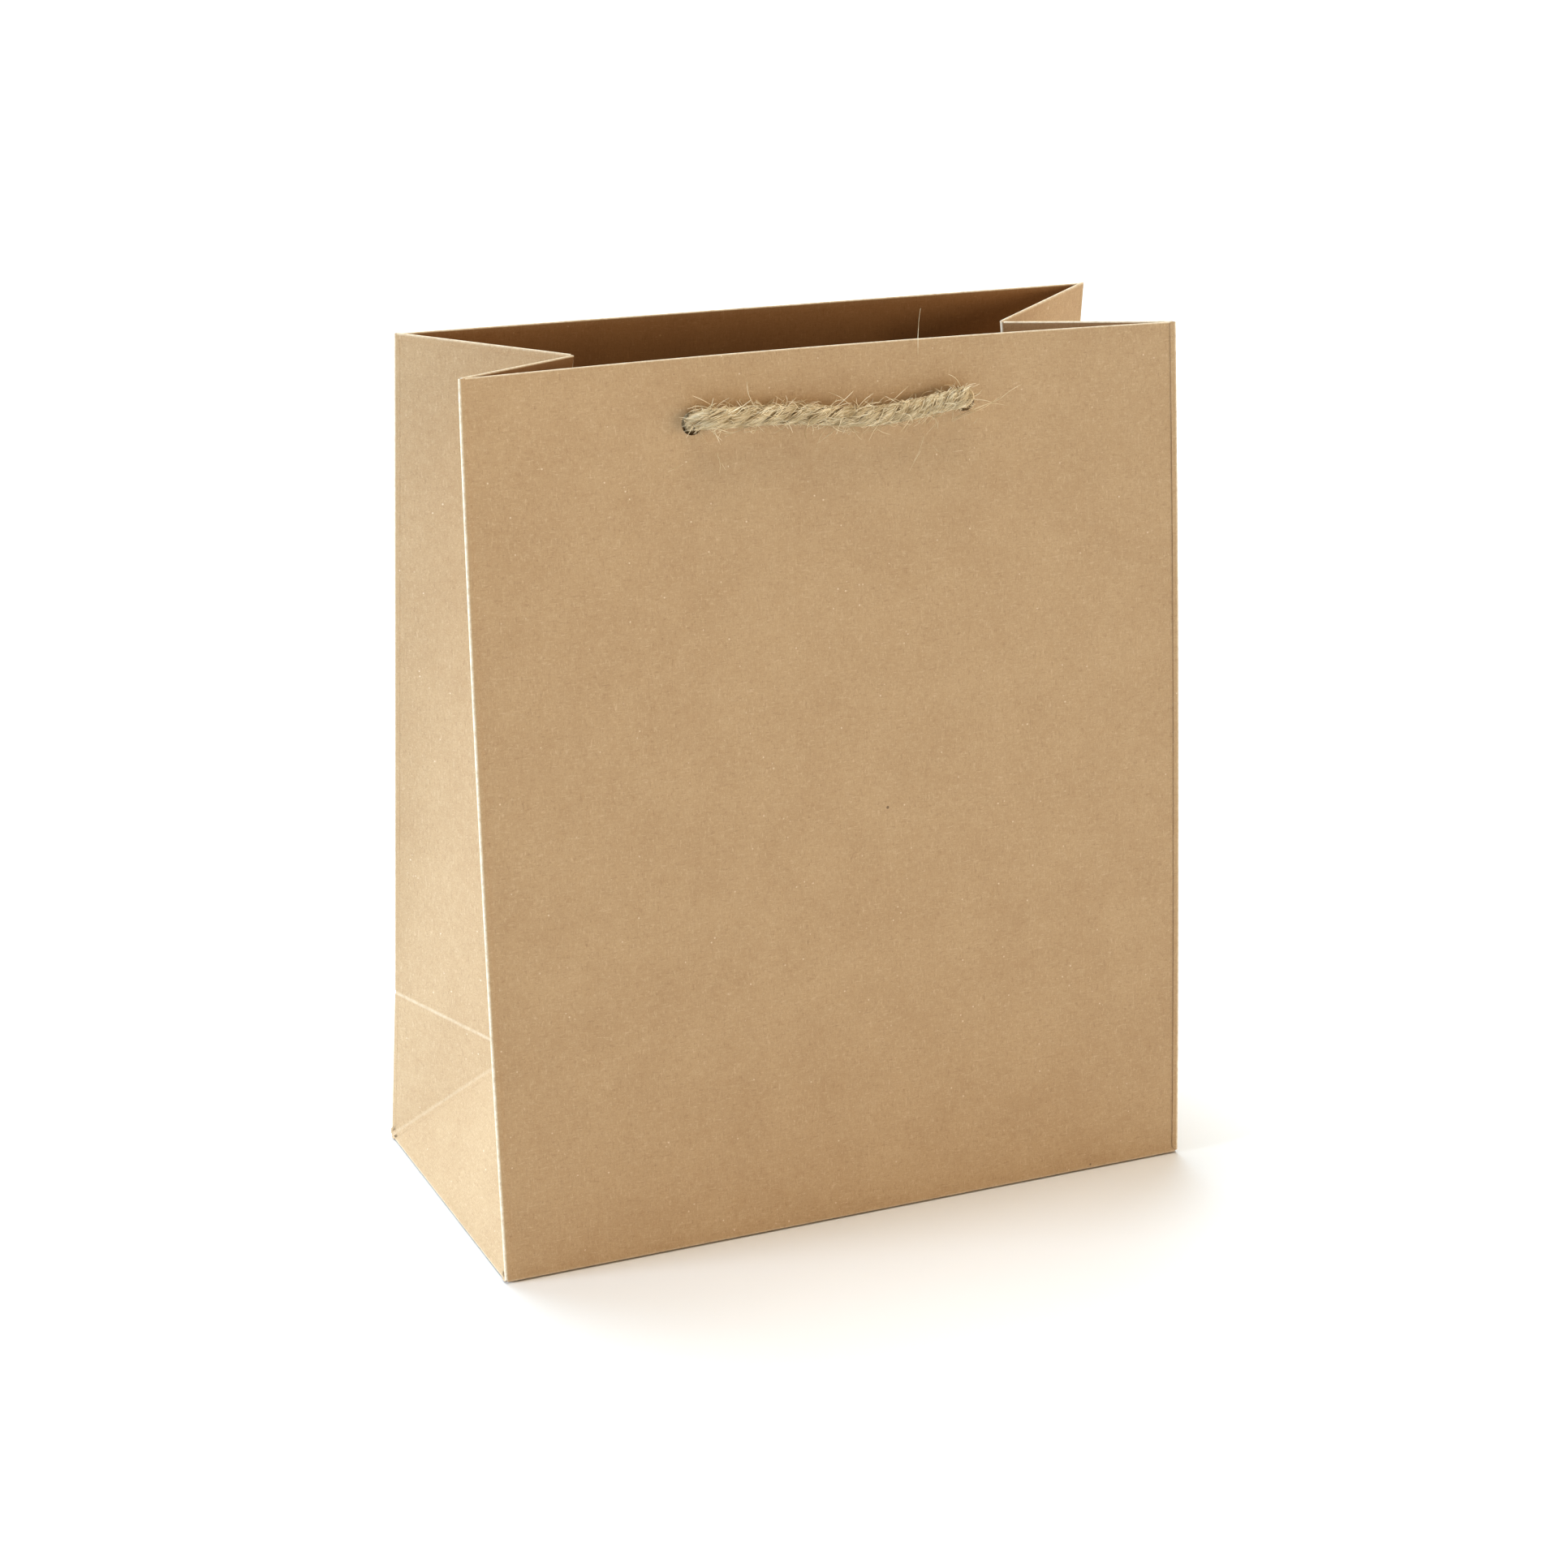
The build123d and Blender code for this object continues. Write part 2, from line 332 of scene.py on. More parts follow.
def ranged(tree, value, low, high, to_low=0.0, to_high=1.0):
    """A value between low and high, spread over a new range and kept in it."""
    node = tree.nodes.new("ShaderNodeMapRange")
    tree.links.new(value, node.inputs["Value"])
    for name, number in (("From Min", low), ("From Max", high), ("To Min", to_low), ("To Max", to_high)):
        node.inputs[name].default_value = number
    return node.outputs["Result"]


def maths(tree, kind, first, second):
    """A sum, product or other step of arithmetic."""
    node = tree.nodes.new("ShaderNodeMath")
    node.operation = kind
    for socket, value in zip(node.inputs, (first, second)):
        if isinstance(value, bpy.types.NodeSocket):
            tree.links.new(value, socket)
        else:
            socket.default_value = value
    return node.outputs[0]


def colour(red, green, blue):
    """A colour with full cover."""
    return (red, green, blue, 1.0)


def kraft_paper():
    """Brown kraft paper: cloudy pulp, fibres laid three ways, pale flecks, dark specks, worn creases, and painted
    shade on the faces inside the bag.
    """
    material, tree, shader = material_tree("kraft_paper")
    even = stretched(tree, (1, 1, 1))
    cloud = ranged(tree, noisy(tree, even, 55, 3), 0.3, 0.7)
    pulp = ranged(tree, noisy(tree, even, 330, 4, 0.6), 0.3, 0.7)
    grain = ranged(tree, noisy(tree, even, 1500, 3, 0.7), 0.25, 0.75)
    base = mixed(tree, cloud, colour(0.500, 0.330, 0.178), colour(0.560, 0.384, 0.214))
    base = mixed(tree, maths(tree, "MULTIPLY", pulp, 0.5), base, colour(0.615, 0.438, 0.262))
    base = mixed(tree, maths(tree, "MULTIPLY", grain, 0.42), base, colour(0.40, 0.250, 0.125))
    ways = ((2300, 2300, 430), (430, 2300, 2300), (2300, 430, 2300))
    fibre_height = None
    for number, way in enumerate(ways):
        fibres = noisy(tree, stretched(tree, way), 1.0 + 0.13 * number, 2, 0.6)
        pale = ranged(tree, fibres, 0.60, 0.74)
        dark = ranged(tree, fibres, 0.40, 0.27)
        base = mixed(tree, maths(tree, "MULTIPLY", pale, 0.40), base, colour(0.74, 0.57, 0.37))
        base = mixed(tree, maths(tree, "MULTIPLY", dark, 0.36), base, colour(0.31, 0.180, 0.085))
        fibre_height = fibres if fibre_height is None else maths(tree, "ADD", fibre_height, fibres)
    flecks = add(tree, "ShaderNodeTexVoronoi", Vector=even, Scale=420.0)
    fleck = ranged(tree, flecks.outputs["Distance"], 0.14, 0.07)
    chosen = ranged(tree, noisy(tree, even, 170, 1), 0.60, 0.64)
    base = mixed(tree, maths(tree, "MULTIPLY", maths(tree, "MULTIPLY", fleck, chosen), 0.7),
                 base, colour(0.86, 0.72, 0.52))
    specks = add(tree, "ShaderNodeTexVoronoi", Vector=even, Scale=70.0)
    speck = ranged(tree, specks.outputs["Distance"], 0.036, 0.026)
    few = ranged(tree, noisy(tree, even, 37, 1), 0.57, 0.60)
    base = mixed(tree, maths(tree, "MULTIPLY", maths(tree, "MULTIPLY", speck, few), 0.75),
                 base, colour(0.10, 0.055, 0.03))
    # Painted shade: the faces inside the bag are multiplied darker and browner, standing in for the shade there.
    inner = add(tree, "ShaderNodeAttribute")
    inner.attribute_name = "inner"
    base = mixed(tree, inner.outputs["Fac"], base, colour(0.68, 0.50, 0.34), "MULTIPLY")
    worn = add(tree, "ShaderNodeAttribute")
    worn.attribute_name = "wear"
    rubbed = ranged(tree, noisy(tree, even, 650, 3, 0.7), 0.30, 0.62, 0.35, 1.0)
    wear = maths(tree, "MULTIPLY", worn.outputs["Fac"], rubbed)
    base = mixed(tree, wear, base, colour(0.90, 0.79, 0.60))
    tree.links.new(base, shader.inputs["Base Color"])
    tree.links.new(ranged(tree, pulp, 0, 1, 0.70, 0.84), shader.inputs["Roughness"])
    shader.inputs["Specular IOR Level"].default_value = 0.28
    height = maths(tree, "ADD", maths(tree, "MULTIPLY", fibre_height, 0.4), grain)
    bump = add(tree, "ShaderNodeBump", Height=height, Strength=0.5, Distance=0.045 * MM)
    tree.links.new(bump.outputs["Normal"], shader.inputs["Normal"])
    return material


def grey_card(name, pale, dark):
    """Recycled card: pulp clouds with pale and dark paper scraps."""
    material, tree, shader = material_tree(name)
    even = stretched(tree, (1, 1, 1))
    cloud = ranged(tree, noisy(tree, even, 90, 3), 0.3, 0.7)
    base = mixed(tree, cloud, dark, pale)
    scraps = ranged(tree, noisy(tree, even, 900, 3, 0.7), 0.60, 0.72)
    base = mixed(tree, maths(tree, "MULTIPLY", scraps, 0.5), base, colour(0.66, 0.62, 0.55))
    pits = ranged(tree, noisy(tree, even, 1100, 3, 0.7), 0.40, 0.28)
    base = mixed(tree, maths(tree, "MULTIPLY", pits, 0.5), base, colour(0.17, 0.15, 0.13))
    tree.links.new(base, shader.inputs["Base Color"])
    shader.inputs["Roughness"].default_value = 0.86
    shader.inputs["Specular IOR Level"].default_value = 0.2
    bump = add(tree, "ShaderNodeBump", Height=scraps, Strength=0.4, Distance=0.05 * MM)
    tree.links.new(bump.outputs["Normal"], shader.inputs["Normal"])
    return material


def jute_strand():
    """Laid jute: fibres run along each strand, straw to olive brown, with painted shade where strands meet."""
    material, tree, shader = material_tree("jute_strand")
    winding = add(tree, "ShaderNodeAttribute")
    winding.attribute_name = "winding"
    along = tree.nodes.new("ShaderNodeMapping")
    tree.links.new(winding.outputs["Vector"], along.inputs["Vector"])
    along.inputs["Scale"].default_value = (1700, 1700, 130)
    streaks = noisy(tree, along.outputs["Vector"], 1.0, 4, 0.65)
    even = stretched(tree, (1, 1, 1))
    patches = ranged(tree, noisy(tree, even, 210, 2), 0.3, 0.7)
    base = mixed(tree, patches, colour(0.44, 0.325, 0.170), colour(0.60, 0.475, 0.285))
    base = mixed(tree, ranged(tree, streaks, 0.52, 0.68), base, colour(0.84, 0.72, 0.50))
    base = mixed(tree, ranged(tree, streaks, 0.46, 0.30, 0, 0.9), base, colour(0.14, 0.085, 0.04))
    outer = add(tree, "ShaderNodeAttribute")
    outer.attribute_name = "outer"
    # Painted shade: darker towards the rope's core, in the crevices between the strands.
    gap = ranged(tree, outer.outputs["Fac"], 0.97, 0.70, 0, 0.95)
    base = mixed(tree, gap, base, colour(0.075, 0.045, 0.022))
    tree.links.new(base, shader.inputs["Base Color"])
    shader.inputs["Roughness"].default_value = 0.78
    shader.inputs["Specular IOR Level"].default_value = 0.25
    bump = add(tree, "ShaderNodeBump", Height=streaks, Strength=0.9, Distance=0.16 * MM)
    tree.links.new(bump.outputs["Normal"], shader.inputs["Normal"])
    return material


def jute_fibre():
    """Loose jute fibres, pale straw with browner lengths."""
    material, tree, shader = material_tree("jute_fibre")
    even = stretched(tree, (1, 1, 1))
    tone = ranged(tree, noisy(tree, even, 260, 2), 0.32, 0.68)
    base = mixed(tree, tone, colour(0.52, 0.385, 0.20), colour(0.98, 0.84, 0.58))
    tree.links.new(base, shader.inputs["Base Color"])
    shader.inputs["Roughness"].default_value = 0.6
    shader.inputs["Specular IOR Level"].default_value = 0.35
    return material


KRAFT = kraft_paper()
BOARD = grey_card("base_board_card", colour(0.42, 0.38, 0.33), colour(0.34, 0.30, 0.26))
CARD = grey_card("stiffening_card", colour(0.40, 0.31, 0.21), colour(0.32, 0.24, 0.16))
JUTE = jute_strand()
FIBRE = jute_fibre()


# ---------------------------------------------------------------- making pieces

def put(name, mesh, material):
    """A new object in the scene with one material."""
    mesh.materials.clear()
    mesh.materials.append(material)
    obj = bpy.data.objects.new(name, mesh)
    bpy.context.scene.collection.objects.link(obj)
    return obj


def settle(obj):
    """Make the object's modifiers part of its mesh."""
    graph = bpy.context.evaluated_depsgraph_get()
    graph.update()
    mesh = bpy.data.meshes.new_from_object(obj.evaluated_get(graph))
    obj.modifiers.clear()
    old = obj.data
    obj.data = mesh
    bpy.data.meshes.remove(old)
    mesh.name = obj.name
    for face in mesh.polygons:
        face.use_smooth = True
    mesh.set_sharp_from_angle(angle=math.radians(38))
    return obj


def laid_grid(columns, rows, place, wear=None):
    """A sheet of small faces; place gives each point of it and wear how rubbed it is."""
    bm = bmesh.new()
    bmesh.ops.create_grid(bm, x_segments=columns, y_segments=rows, size=0.5)
    bm.verts.layers.float.new("wear")
    bm.verts.layers.float.new("run")
    layer, run = bm.verts.layers.float["wear"], bm.verts.layers.float["run"]
    for vert in bm.verts:
        u = min(max(vert.co.x + 0.5, 0.0), 1.0)
        v = min(max(vert.co.y + 0.5, 0.0), 1.0)
        vert.co = place(u, v)
        vert[layer] = wear(u, v) if wear else 0.0
        vert[run] = v
    bmesh.ops.remove_doubles(bm, verts=bm.verts, dist=0.002 * MM)
    return bm


def mark_inner(obj, count, lead, outward, turned_in):
    """Mark where shade is painted inside the bag: a sheet's back, and the leg of a hem that hangs down inside."""
    mesh = obj.data
    mesh.attributes.new("inner", "FLOAT", "POINT")
    shade = mesh.attributes["inner"]
    if turned_in is not None:
        for index in range(len(mesh.vertices)):
            shade.data[index].value = turned_in[index % count]
        return
    near = min(range(count), key=lambda index: (mesh.vertices[index].co - lead).length)
    step = mesh.vertices[near + count].co - mesh.vertices[near].co
    back = range(count) if step.dot(outward) > 0 else range(count, 2 * count)
    for index in back:
        shade.data[index].value = 1.0


def paper_piece(name, columns, rows, place, outward, thickness=PAPER, proud=0.0, wear=None,
                turned_in=None):
    """A sheet with thickness. Its first row faces outward; its face may stand proud of its place."""
    bm = laid_grid(columns, rows, place, wear)
    bm.normal_update()
    lead = place(0.5, 0.5 / rows)
    first = min(bm.faces, key=lambda face: (face.calc_center_median() - lead).length)
    if first.normal.dot(outward) < 0:
        bmesh.ops.reverse_faces(bm, faces=bm.faces)
    bm.normal_update()
    count = len(bm.verts)
    run = bm.verts.layers.float["run"]
    inside = [turned_in(vert[run]) for vert in bm.verts] if turned_in else None
    mesh = bpy.data.meshes.new(name)
    bm.to_mesh(mesh)
    bm.free()
    obj = put(name, mesh, KRAFT)
    wall = obj.modifiers.new("wall", "SOLIDIFY")
    wall.thickness = thickness + 2 * proud
    wall.offset = -1 + 2 * proud / (thickness + 2 * proud)
    wall.use_even_offset = True
    settle(obj)
    mark_inner(obj, count, lead, outward, inside)
    return obj


def on_side(place, side):
    """The same place on the left (1) or mirrored on the right (-1)."""
    return Vector((place.x * side, place.y, place.z))


def sided(place, side):
    """A place function for the left or the right half."""
    return lambda u, v: on_side(place(u, v), side)


def eased(share):
    """Nought to one with soft ends."""
    share = min(max(share, 0.0), 1.0)
    return share * share * (3 - 2 * share)


def between(first, second, share):
    """Part of the way from first to second."""
    return first + (second - first) * share


def four_sided(low_start, low_end, top_end, top_start):
    """A sheet between four corners: u runs along it and v up it."""
    def place(u, v):
        return between(between(low_start, low_end, u), between(top_start, top_end, u), v)
    return place


def soft_lesser(first, second):
    """The lesser of two shares, rounded where they meet."""
    if first <= 0 or second <= 0:
        return 0.0
    power = 1.5
    return first * second / (first ** power + second ** power) ** (1 / power)


def twisted(outer_low, inner_low, inner_top, outer_top, to_outer_top, amount):
    """A gusset half whose paper twists softly across one diagonal."""
    flat = four_sided(outer_low, inner_low, inner_top, outer_top)
    skew = outer_low - inner_low - outer_top + inner_top

    def place(u, v):
        if to_outer_top:
            return flat(u, v) - skew * amount * soft_lesser(u * v, (1 - u) * (1 - v))
        return flat(u, v) + skew * amount * soft_lesser(v * (1 - u), u * (1 - v))
    return place


def held_in(place, left=0.0, right=0.0, low=0.0, top=0.0):
    """The sheet with its sides moved in by distances, for where creases take over."""
    def smaller(u, v):
        width = (place(1, v) - place(0, v)).length
        height = (place(u, 1) - place(u, 0)).length
        near = min(left / max(width, 1e-6), 0.45)
        far = min(right / max(width, 1e-6), 0.45)
        under = low / height
        over = top / height
        return place(near + u * (1 - near - far), under + v * (1 - under - over))
    return smaller


def waved(place, outward, height, start=0.0, stop=1.0, seed=0.0):
    """The sheet with a slight uneven swell that dies out at its edges."""
    def swollen(u, v):
        share = min(max((v - start) / (stop - start), 0.0), 1.0)
        swell = 16 * u * (1 - u) * share * (1 - share)
        uneven = 0.65 + 0.9 * noise.noise(Vector((2.1 * u + seed, 2.7 * v, seed)))
        return place(u, v) + outward * (height * swell * uneven)
    return swollen


def facing(place, side_point):
    """The sheet's direction away from the bag's middle, at its centre."""
    across = place(0.6, 0.5) - place(0.4, 0.5)
    up = place(0.5, 0.6) - place(0.5, 0.4)
    normal = across.cross(up).normalized()
    if normal.dot(place(0.5, 0.5) - side_point) < 0:
        normal = -normal
    return normal


# ---------------------------------------------------------------- paper

flat_front_wall = four_sided(FRONT_BASE, on_side(FRONT_BASE, -1), on_side(FRONT_RIM, -1), FRONT_RIM)


def front_wall(u, v):
    """The front, bowed inward along its rim and a little outward along its side creases."""
    bow = RIM_BOW * (1 - (2 * u - 1) ** 2) * max(v, 0.0) ** 2
    side = SIDE_BULGE * 4 * v * (1 - v) * (2 * u - 1)
    return flat_front_wall(u, v) + Vector((side, bow, 0))


def bulged(place):
    """A gusset half that follows the front's side crease along its outer edge."""
    def moved(u, v):
        return place(u, v) - Vector((SIDE_BULGE * 4 * v * (1 - v) * (1 - u), 0, 0))
    return moved


lower_back_wall = four_sided(BACK_BASE, on_side(BACK_BASE, -1), on_side(HEEL, -1), HEEL)
back_wall = four_sided(HEEL, on_side(HEEL, -1), on_side(BACK_RIM, -1), BACK_RIM)
front_half = bulged(twisted(FRONT_BASE, FOLD_BASE, FOLD_RIM, FRONT_RIM, True, 0.75))
rear_half = twisted(HEEL, FOLD_BASE, FOLD_RIM, BACK_RIM, False, 0.55)
base_triangle = four_sided(FRONT_BASE, BACK_BASE, FOLD_BASE, FOLD_BASE)
heel_triangle = four_sided(BACK_BASE, HEEL, FOLD_BASE, FOLD_BASE)
FRONT_OUT = facing(front_wall, MIDDLE)
LOWER_BACK_OUT = facing(lower_back_wall, MIDDLE)
BACK_OUT = facing(back_wall, MIDDLE)


def punch_tool(wall, outward):
    """Two round punches where a panel's handle holes go."""
    height = (wall(0.5, 1) - wall(0.5, 0)).length
    width = (wall(1, 1) - wall(0, 1)).length
    bm = bmesh.new()
    for side in (-1, 1):
        centre = wall(0.5 + side * HOLE_SPACING / 2 / width, 1 - HOLE_FROM_RIM / height)
        place = Matrix.Translation(centre)
        turn = outward.to_track_quat("Z", "Y").to_matrix().to_4x4()
        bmesh.ops.create_cone(bm, cap_ends=True, segments=48, radius1=HOLE_DIAMETER / 2,
                              radius2=HOLE_DIAMETER / 2, depth=8 * MM, matrix=place @ turn)
    mesh = bpy.data.meshes.new("punch")
    bm.to_mesh(mesh)
    bm.free()
    return put("punch", mesh, KRAFT)


def punch(obj, wall, outward):
    """Cut the handle holes out of a sheet."""
    tool = punch_tool(wall, outward)
    cut = obj.modifiers.new("holes", "BOOLEAN")
    cut.operation = "DIFFERENCE"
    cut.solver = "EXACT"
    cut.object = tool
    settle(obj)
    bpy.data.objects.remove(tool)
    return obj


def hem_profile(step, rim, depth):
    """Outer leg, over the rim and down inside: how far in from the face and below the rim."""
    radius = (rim + 2 * PROUD) / 2
    if step <= 0.08:
        return -PROUD, RIM_EAR + (radius - RIM_EAR) * step / 0.08
    if step <= 0.5:
        angle = math.pi * (step - 0.08) / 0.42
        return radius - PROUD - radius * math.cos(angle), radius - radius * math.sin(angle)
    return rim + PROUD, radius + (depth - radius) * (step - 0.5) / 0.5


def hem_place(wall, outward, rim, depth, left_gap, right_gap):
    """The turned-in paper of a wall: u along the rim, v from the outer leg over it and down."""
    def place(u, v):
        inward, below = hem_profile(v, rim, depth)
        top = wall(0.5, 1)
        height = (top - wall(0.5, 0)).length
        width = (wall(1, 1) - wall(0, 1)).length
        pull = eased((below - 0.5 * MM) / (5 * MM)) if v > 0.5 else 0.0
        near = (SHEET_GAP + pull * (left_gap - SHEET_GAP)) / width
        far = (SHEET_GAP + pull * (right_gap - SHEET_GAP)) / width
        spot = wall(near + u * (1 - near - far), 1 - below / height)
        return spot - outward(u, 1 - below / height) * inward
    return place


def hem_inside_shade(v):
    """How far the turned-in paper faces the inside of the bag, and so how much painted shade it takes."""
    return eased((v - 0.44) / 0.08)


def hem_wear(u, v):
    """The fold over the rim is rubbed pale."""
    return max(0.0, 1 - abs(v - 0.29) / 0.21) ** 0.5 * 0.85


def still(direction):
    """A flat wall's outward direction, the same everywhere."""
    return lambda u, v: direction


def normal_of(wall):
    """A curved wall's outward direction at a point."""
    def direction(u, v):
        u = min(max(u, 0.02), 0.98)
        v = min(max(v, 0.02), 0.98)
        across = wall(u + 0.01, v) - wall(u - 0.01, v)
        up = wall(u, v + 0.01) - wall(u, v - 0.01)
        return across.cross(up).normalized()
    return direction


def crease_place(first, second, reach_first=CREASE_REACH, reach_second=CREASE_REACH,
                 low_mitre=True, top_mitre=True):
    """A rounded crease between two walls. first and second each give a point on their own wall, at a
    share along the crease and a distance from it."""
    def place(u, v):
        if u < 0.15:
            distance = reach_first + (CREASE_HALF - reach_first) * u / 0.15
            return first(mitred(v, distance, low_mitre, top_mitre), distance)
        if u > 0.85:
            distance = CREASE_HALF + (reach_second - CREASE_HALF) * (u - 0.85) / 0.15
            return second(mitred(v, distance, low_mitre, top_mitre), distance)
        bend = (u - 0.15) / 0.7
        share = mitred(v, CREASE_HALF, low_mitre, top_mitre)
        start, corner, end = first(share, CREASE_HALF), first(share, 0.0), second(share, CREASE_HALF)
        return start * (1 - bend) ** 2 + corner * 2 * bend * (1 - bend) + end * bend ** 2

    length = (first(1, 0.0) - first(0, 0.0)).length

    def mitred(share, distance, low, top):
        under = distance / length if low else 0.0
        over = distance / length if top else 0.0
        return under + share * (1 - under - over)
    return place


def crease_wear(amount):
    """Rubbed along its middle, fading out on both sides."""
    def wear(u, v):
        return amount * max(0.0, 1 - (abs(u - 0.5) / 0.34) ** 2)
    return wear


def along_side(wall, edge):
    """Points on a wall by share along one of its edges and distance from that edge."""
    def spot(share, distance):
        if edge in ("left", "right"):
            width = (wall(1, share) - wall(0, share)).length
            u = min(distance / max(width, 1e-6), 1.0)
            return wall(u if edge == "left" else 1 - u, share)
        height = (wall(share, 1) - wall(share, 0)).length
        v = min(distance / max(height, 1e-6), 1.0)
        return wall(share, v if edge == "low" else 1 - v)
    return spot


def flat_side(start, end, across):
    """Points on a flat wall from the crease between start and end, away from it towards across."""
    along = (end - start).normalized()
    way = across - start
    way = (way - along * way.dot(along)).normalized()

    def spot(share, distance):
        return between(start, end, share) + way * distance
    return spot


def blend_over(obj, first_body, second_body, first, second, spread=0.9 * MM):
    """Let a crease follow the body on each side of it."""
    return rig.blend(obj, first_body, second_body, start=first(0.5, spread), end=second(0.5, spread))


def kraft_ride(obj, body, *nodes):
    """A kraft piece that moves with one body and stands for CAD nodes."""
    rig.ride(obj, body)
    if nodes:
        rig.replaces(obj, *nodes)
    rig.slot(obj, "kraft_paper")
    return obj


def card_strip(name, wall, outward, body):
    """The stiffening card between a wall and its turned-in paper."""
    height = (wall(0.5, 1) - wall(0.5, 0)).length

    def place(u, v):
        share = 1 - (CARD_BELOW_RIM + CARD_DEPTH * (1 - v)) / height
        across = (HEM_SIDE_GAP + CARD_WIDTH * u) / PANEL_WIDTH
        return wall(across, share) - outward * (PAPER + LAYER_GAP)
    obj = paper_piece(name, 40, 8, place, outward, thickness=CARD_THICKNESS)
    punch(obj, wall, outward)
    obj.data.materials.clear()
    obj.data.materials.append(CARD)
    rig.ride(obj, body)
    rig.replaces(obj, name.replace("_strip", ""))
    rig.slot(obj, "stiffening_card")


def panel(name, wall, outward, body, rows, swell):
    """One of the two large walls, with its handle holes, its card and its turned-in paper."""
    sheet = held_in(wall, SHEET_GAP, SHEET_GAP, SHEET_GAP, 0.6 * MM)
    sheet = waved(sheet, outward, swell, 0.0, 0.8, 3.7 if body == "front_panel" else 9.2)
    obj = paper_piece(f"{name}_paper", 44, rows, sheet, outward)
    punch(obj, wall, outward)
    kraft_ride(obj, body, name)
    card_strip(f"{body.split('_')[0]}_stiffening_card_strip", wall, outward, body)
    hem = hem_place(wall, still(outward), PANEL_RIM, HEM_DEPTH, HEM_SIDE_GAP, HEM_SIDE_GAP)
    hem_obj = paper_piece(f"{body.split('_')[0]}_hem_paper", 40, 50, hem, outward,
                          wear=hem_wear, turned_in=hem_inside_shade)
    punch(hem_obj, wall, outward)
    kraft_ride(hem_obj, body, f"{body.split('_')[0]}_top_hem")


def make_walls():
    """Front and back of the bag."""
    panel("front_panel", front_wall, FRONT_OUT, "front_panel", 50, 0.7 * MM)
    panel("back_panel", back_wall, BACK_OUT, "back_panel", 40, 0.7 * MM)
    lower = held_in(lower_back_wall, SHEET_GAP, SHEET_GAP, SHEET_GAP, SHEET_GAP)
    lower = waved(lower, LOWER_BACK_OUT, 0.25 * MM, seed=5.1)
    kraft_ride(paper_piece("back_panel_lower_paper", 44, 10, lower, LOWER_BACK_OUT),
               "back_lower", "back_panel_lower")


def make_wall_creases():
    """Base creases of the front and back, and the crease across the back."""
    floor_front = flat_side(FRONT_BASE, on_side(FRONT_BASE, -1), point(-110, 0, 0))
    floor_back = flat_side(BACK_BASE, on_side(BACK_BASE, -1), point(-110, 0, 0))
    up_front = along_side(front_wall, "low")
    up_back = along_side(lower_back_wall, "low")
    down_back = along_side(lower_back_wall, "top")
    up_upper = along_side(back_wall, "low")
    for name, bodies, first, second, amount, outward in (
            ("front_base_crease", ("base", "front_panel"), floor_front, up_front, 0.55, DOWN),
            ("back_base_crease", ("base", "back_lower"), floor_back, up_back, 0.55, DOWN),
            ("back_cross_crease", ("back_lower", "back_panel"), down_back, up_upper, 0.45, BACK_OUT)):
        swapped = crease_place(first, second)
        place = lambda u, v, swapped=swapped: swapped(v, u)
        wear = crease_wear(amount)
        obj = paper_piece(name, 24, 14, place, outward, proud=PROUD,
                          wear=lambda u, v, wear=wear: wear(v, u))
        blend_over(obj, *bodies, first, second)
        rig.slot(obj, "kraft_paper")


def make_gusset(side):
    """Everything of one folded side: two twisted halves, two triangles, their creases and hems."""
    label = "left" if side == 1 else "right"
    stem = f"gusset_{label}"

    def piece(name, columns, rows, place, reference, **more):
        outward = facing(place, MIDDLE) if reference is None else reference
        return paper_piece(f"{stem}_{name}", columns, rows, sided(place, side),
                           on_side(outward, side), **more)

    out_front = facing_out(front_half)
    out_rear = facing_out(rear_half)
    halves = (("front_half_paper", front_half, out_front, "front_edge", "front_fold"),
              ("rear_half_paper", rear_half, out_rear, "rear_edge", "rear_fold"))
    for name, half, out, edge, fold in halves:
        sheet = held_in(half, SHEET_GAP, SHEET_GAP, SHEET_GAP, 0.6 * MM)
        obj = piece(name, 20, 76, sheet, out)
        twist_blend(obj, side, stem, edge, fold)
        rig.replaces(obj, f"{stem}_{edge}", f"{stem}_{fold}")
        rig.slot(obj, "kraft_paper")
    for name, half, out, edge, fold in halves:
        hem = hem_place(half, outward_of(half, out), GUSSET_RIM, HEM_DEPTH, HEM_SIDE_GAP, 2.4 * MM)
        obj = piece(name.replace("half", "hem"), 16, 46, hem, out, wear=hem_wear,
                    turned_in=hem_inside_shade)
        twist_blend(obj, side, stem, edge, fold)
        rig.replaces(obj, f"{stem}_{name.split('_')[0]}_hem")
        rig.slot(obj, "kraft_paper")
    for name, wall, body in (("base_triangle", base_triangle, "base"),
                             ("heel_triangle", heel_triangle, "heel")):
        sheet = triangle_held_in(wall, SHEET_GAP)
        obj = piece(f"{name}_paper", 20, 16, sheet, None)
        kraft_ride(obj, f"{stem}_{body}", f"{stem}_{name}")
    make_gusset_creases(side, stem, out_rear)


def facing_out(half):
    """A gusset half's outward direction on the left side, near its rim and near its base alike."""
    across = half(0.6, 0.5) - half(0.4, 0.5)
    up = half(0.5, 0.6) - half(0.5, 0.4)
    normal = across.cross(up).normalized()
    return normal if normal.x < 0 else -normal


def outward_of(half, out):
    """The half's own outward direction at each point."""
    direction = normal_of(half)

    def turned(u, v):
        normal = direction(u, v)
        return normal if normal.dot(out) > 0 else -normal
    return turned


def triangle_held_in(wall, gap):
    """A triangle with all three sides moved in by the same gap."""
    first, second, tip = wall(0, 0), wall(1, 0), wall(0.5, 1)
    sides = ((second - tip).length, (tip - first).length, (first - second).length)
    total = sum(sides)
    centre = (first * sides[0] + second * sides[1] + tip * sides[2]) / total
    area = (second - first).cross(tip - first).length / 2
    radius = 2 * area / total
    share = 1 - gap / radius
    return four_sided(*[centre + (corner - centre) * share for corner in (first, second, tip, tip)])


